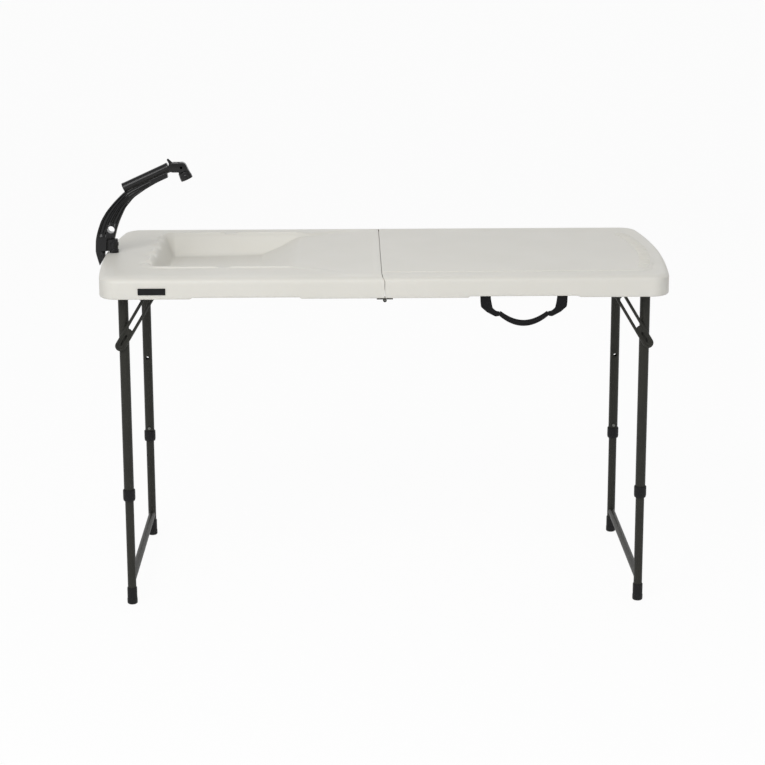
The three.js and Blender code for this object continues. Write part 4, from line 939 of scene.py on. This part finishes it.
def sewn_grip():
    """The grip: a sleeve folded round the strap and sewn along its lower edge, creased at its ends."""
    share = np.linspace(-1.0, 1.0, GRIP_STEPS)
    arch = 1 - share ** 2
    path = np.stack([0.0518 * share, 0 * share, -0.034 - 0.022 * arch], 1)
    _, side, _ = frames_along(path, (0.0, 1.0, 0.0))
    turn = full_turn(GRIP_SIDES)
    flat = circle(1.0, GRIP_SIDES)
    flat = np.sign(flat) * np.abs(flat) ** 0.82
    tall = 0.0064025 * (0.76 + 0.24 * arch)
    crease = 0.00035 * np.sin(share * 71.0 + 2.0 * np.sin(share * 9.0))
    crease *= smooth(np.abs(share), 0.15, 0.7)
    stitch = 0.27 * ridge(np.angle(np.exp(1j * (turn + np.pi / 2))), 0.05, 0.20)
    lift = tall[:, None] * flat[None, :, 1]
    deep = (0.0043 * (0.7 + 0.3 * arch) + crease)[:, None] * flat[None, :, 0] * (1 - stitch[None])
    upward = np.where(side[:, 2:] < 0, -side, side)
    points = path[:, None] + lift[..., None] * upward[:, None]
    points[..., 1] += deep
    seats = np.stack(np.broadcast_arrays(0.030 * turn[None] / (2 * np.pi), 0.055 * share[:, None]), -1)
    return points.reshape(-1, 3) + HANDLE, capped(GRIP_STEPS, GRIP_SIDES), seats.reshape(-1, 2)


grip_points, grip_faces, grip_seats = sewn_grip()
grip = solid("sewn_grip", grip_points, grip_faces, WEBBING, "handle", ["handle_grip"], "webbing",
             seats=grip_seats, angle=60.0)


# ------------------------ badge plate

# A blank field with rounded corners, in the faucet's frame like the plates there.
BADGE = rounded([(100.0, -37.0), (158.0, -37.0), (158.0, -23.0), (100.0, -23.0)], 1.2, 3)
part("blank_badge", "badge_plate", "black_plastic", plate(BADGE, -306.7, -305.3, 0.35), "sink_half")


# ------------------------ what stays as the CAD made it

# Each node takes the first material whose names it starts with. The last one fits every name.
MATERIALS = ((("rail_", "hinge_leaf_"), POWDER),
             (("hinge_pin_", "faucet_head_pin", "lock_button_"), ZINC),
             (("top_",), RESIN),
             (("",), NYLON))

for name, node in NODES.items():
    node.data.materials.clear()
    node.data.materials.append(next(made for starts, made in MATERIALS if name.startswith(starts)))


# ------------------------ floor and light

def paper():
    """A white paper that glows for the camera, so that it shows like the photograph's background."""
    made, tree, shader, _ = new_material("seamless_paper", Base_Color=linear("f4f4f4"), Roughness=0.9)
    glow = add(tree, "ShaderNodeEmission", Color=(1.0, 1.0, 1.0, 1.0), Strength=1.0)
    seen = add(tree, "ShaderNodeLightPath")
    shown = add(tree, "ShaderNodeMath", {"operation": "MAXIMUM"}, i0=seen.outputs["Is Camera Ray"],
                i1=seen.outputs["Is Glossy Ray"])
    fac = add(tree, "ShaderNodeMath", {"operation": "MULTIPLY"}, i0=shown.outputs[0], i1=0.94)
    mixed = add(tree, "ShaderNodeMixShader", Fac=fac.outputs[0], i1=shader.outputs[0],
                i2=glow.outputs[0])
    tree.links.new(mixed.outputs[0], tree.nodes["Material Output"].inputs["Surface"])
    return made


def floor():
    """A pale floor that turns up into a backdrop far behind the table."""
    columns, turn_up = 8, 3.0
    t = np.linspace(0.0, np.pi / 2, 16)
    y = np.concatenate([[-9.0, -3.0, 0.0, 4.0], 6.0 + turn_up * np.sin(t), [9.0]])
    z = np.concatenate([[0.0, 0.0, 0.0, 0.0], turn_up * (1 - np.cos(t)), [12.0]]) - 0.0002
    x = np.linspace(-14.0, 14.0, columns)[:, None]
    points = np.stack(np.broadcast_arrays(x, y, z), -1)
    piece = new_piece("floor", points, grid_faces(columns, len(y)), paper())
    piece.data.shade_smooth()


floor()


def lamp(name, place, target, size, power):
    """A square soft box that faces its target."""
    data = bpy.data.lights.new(name, "AREA")
    data.shape = "SQUARE"
    data.size = size
    data.energy = power
    made = bpy.data.objects.new(name, data)
    bpy.context.scene.collection.objects.link(made)
    made.location = place
    aim = Vector(target) - Vector(place)
    made.rotation_euler = aim.to_track_quat("-Z", "Y").to_euler()


lamp("key", (-1.2, -3.0, 3.0), (0.0, 0.0, 0.5), 2.4, 76.0)
lamp("fill", (2.6, -3.0, 1.4), (0.0, 0.0, 0.5), 2.6, 9.0)
lamp("rear", (0.4, 2.8, 2.8), (0.0, 0.0, 0.6), 2.2, 10.0)

world = bpy.data.worlds.new("studio")
bpy.context.scene.world = world
world.use_nodes = True
sky = world.node_tree.nodes["Background"]
sky.inputs["Color"].default_value = (1.0, 1.0, 1.0, 1.0)
# The sky lights the table at 0.50 and shows white to the camera.
looked_at = add(world.node_tree, "ShaderNodeLightPath")
brightness = add(world.node_tree, "ShaderNodeMath", {"operation": "MULTIPLY_ADD"},
                 i0=looked_at.outputs["Is Camera Ray"], i1=0.45, i2=0.50)
world.node_tree.links.new(brightness.outputs[0], sky.inputs["Strength"])
bpy.context.scene.view_settings.view_transform = "Standard"
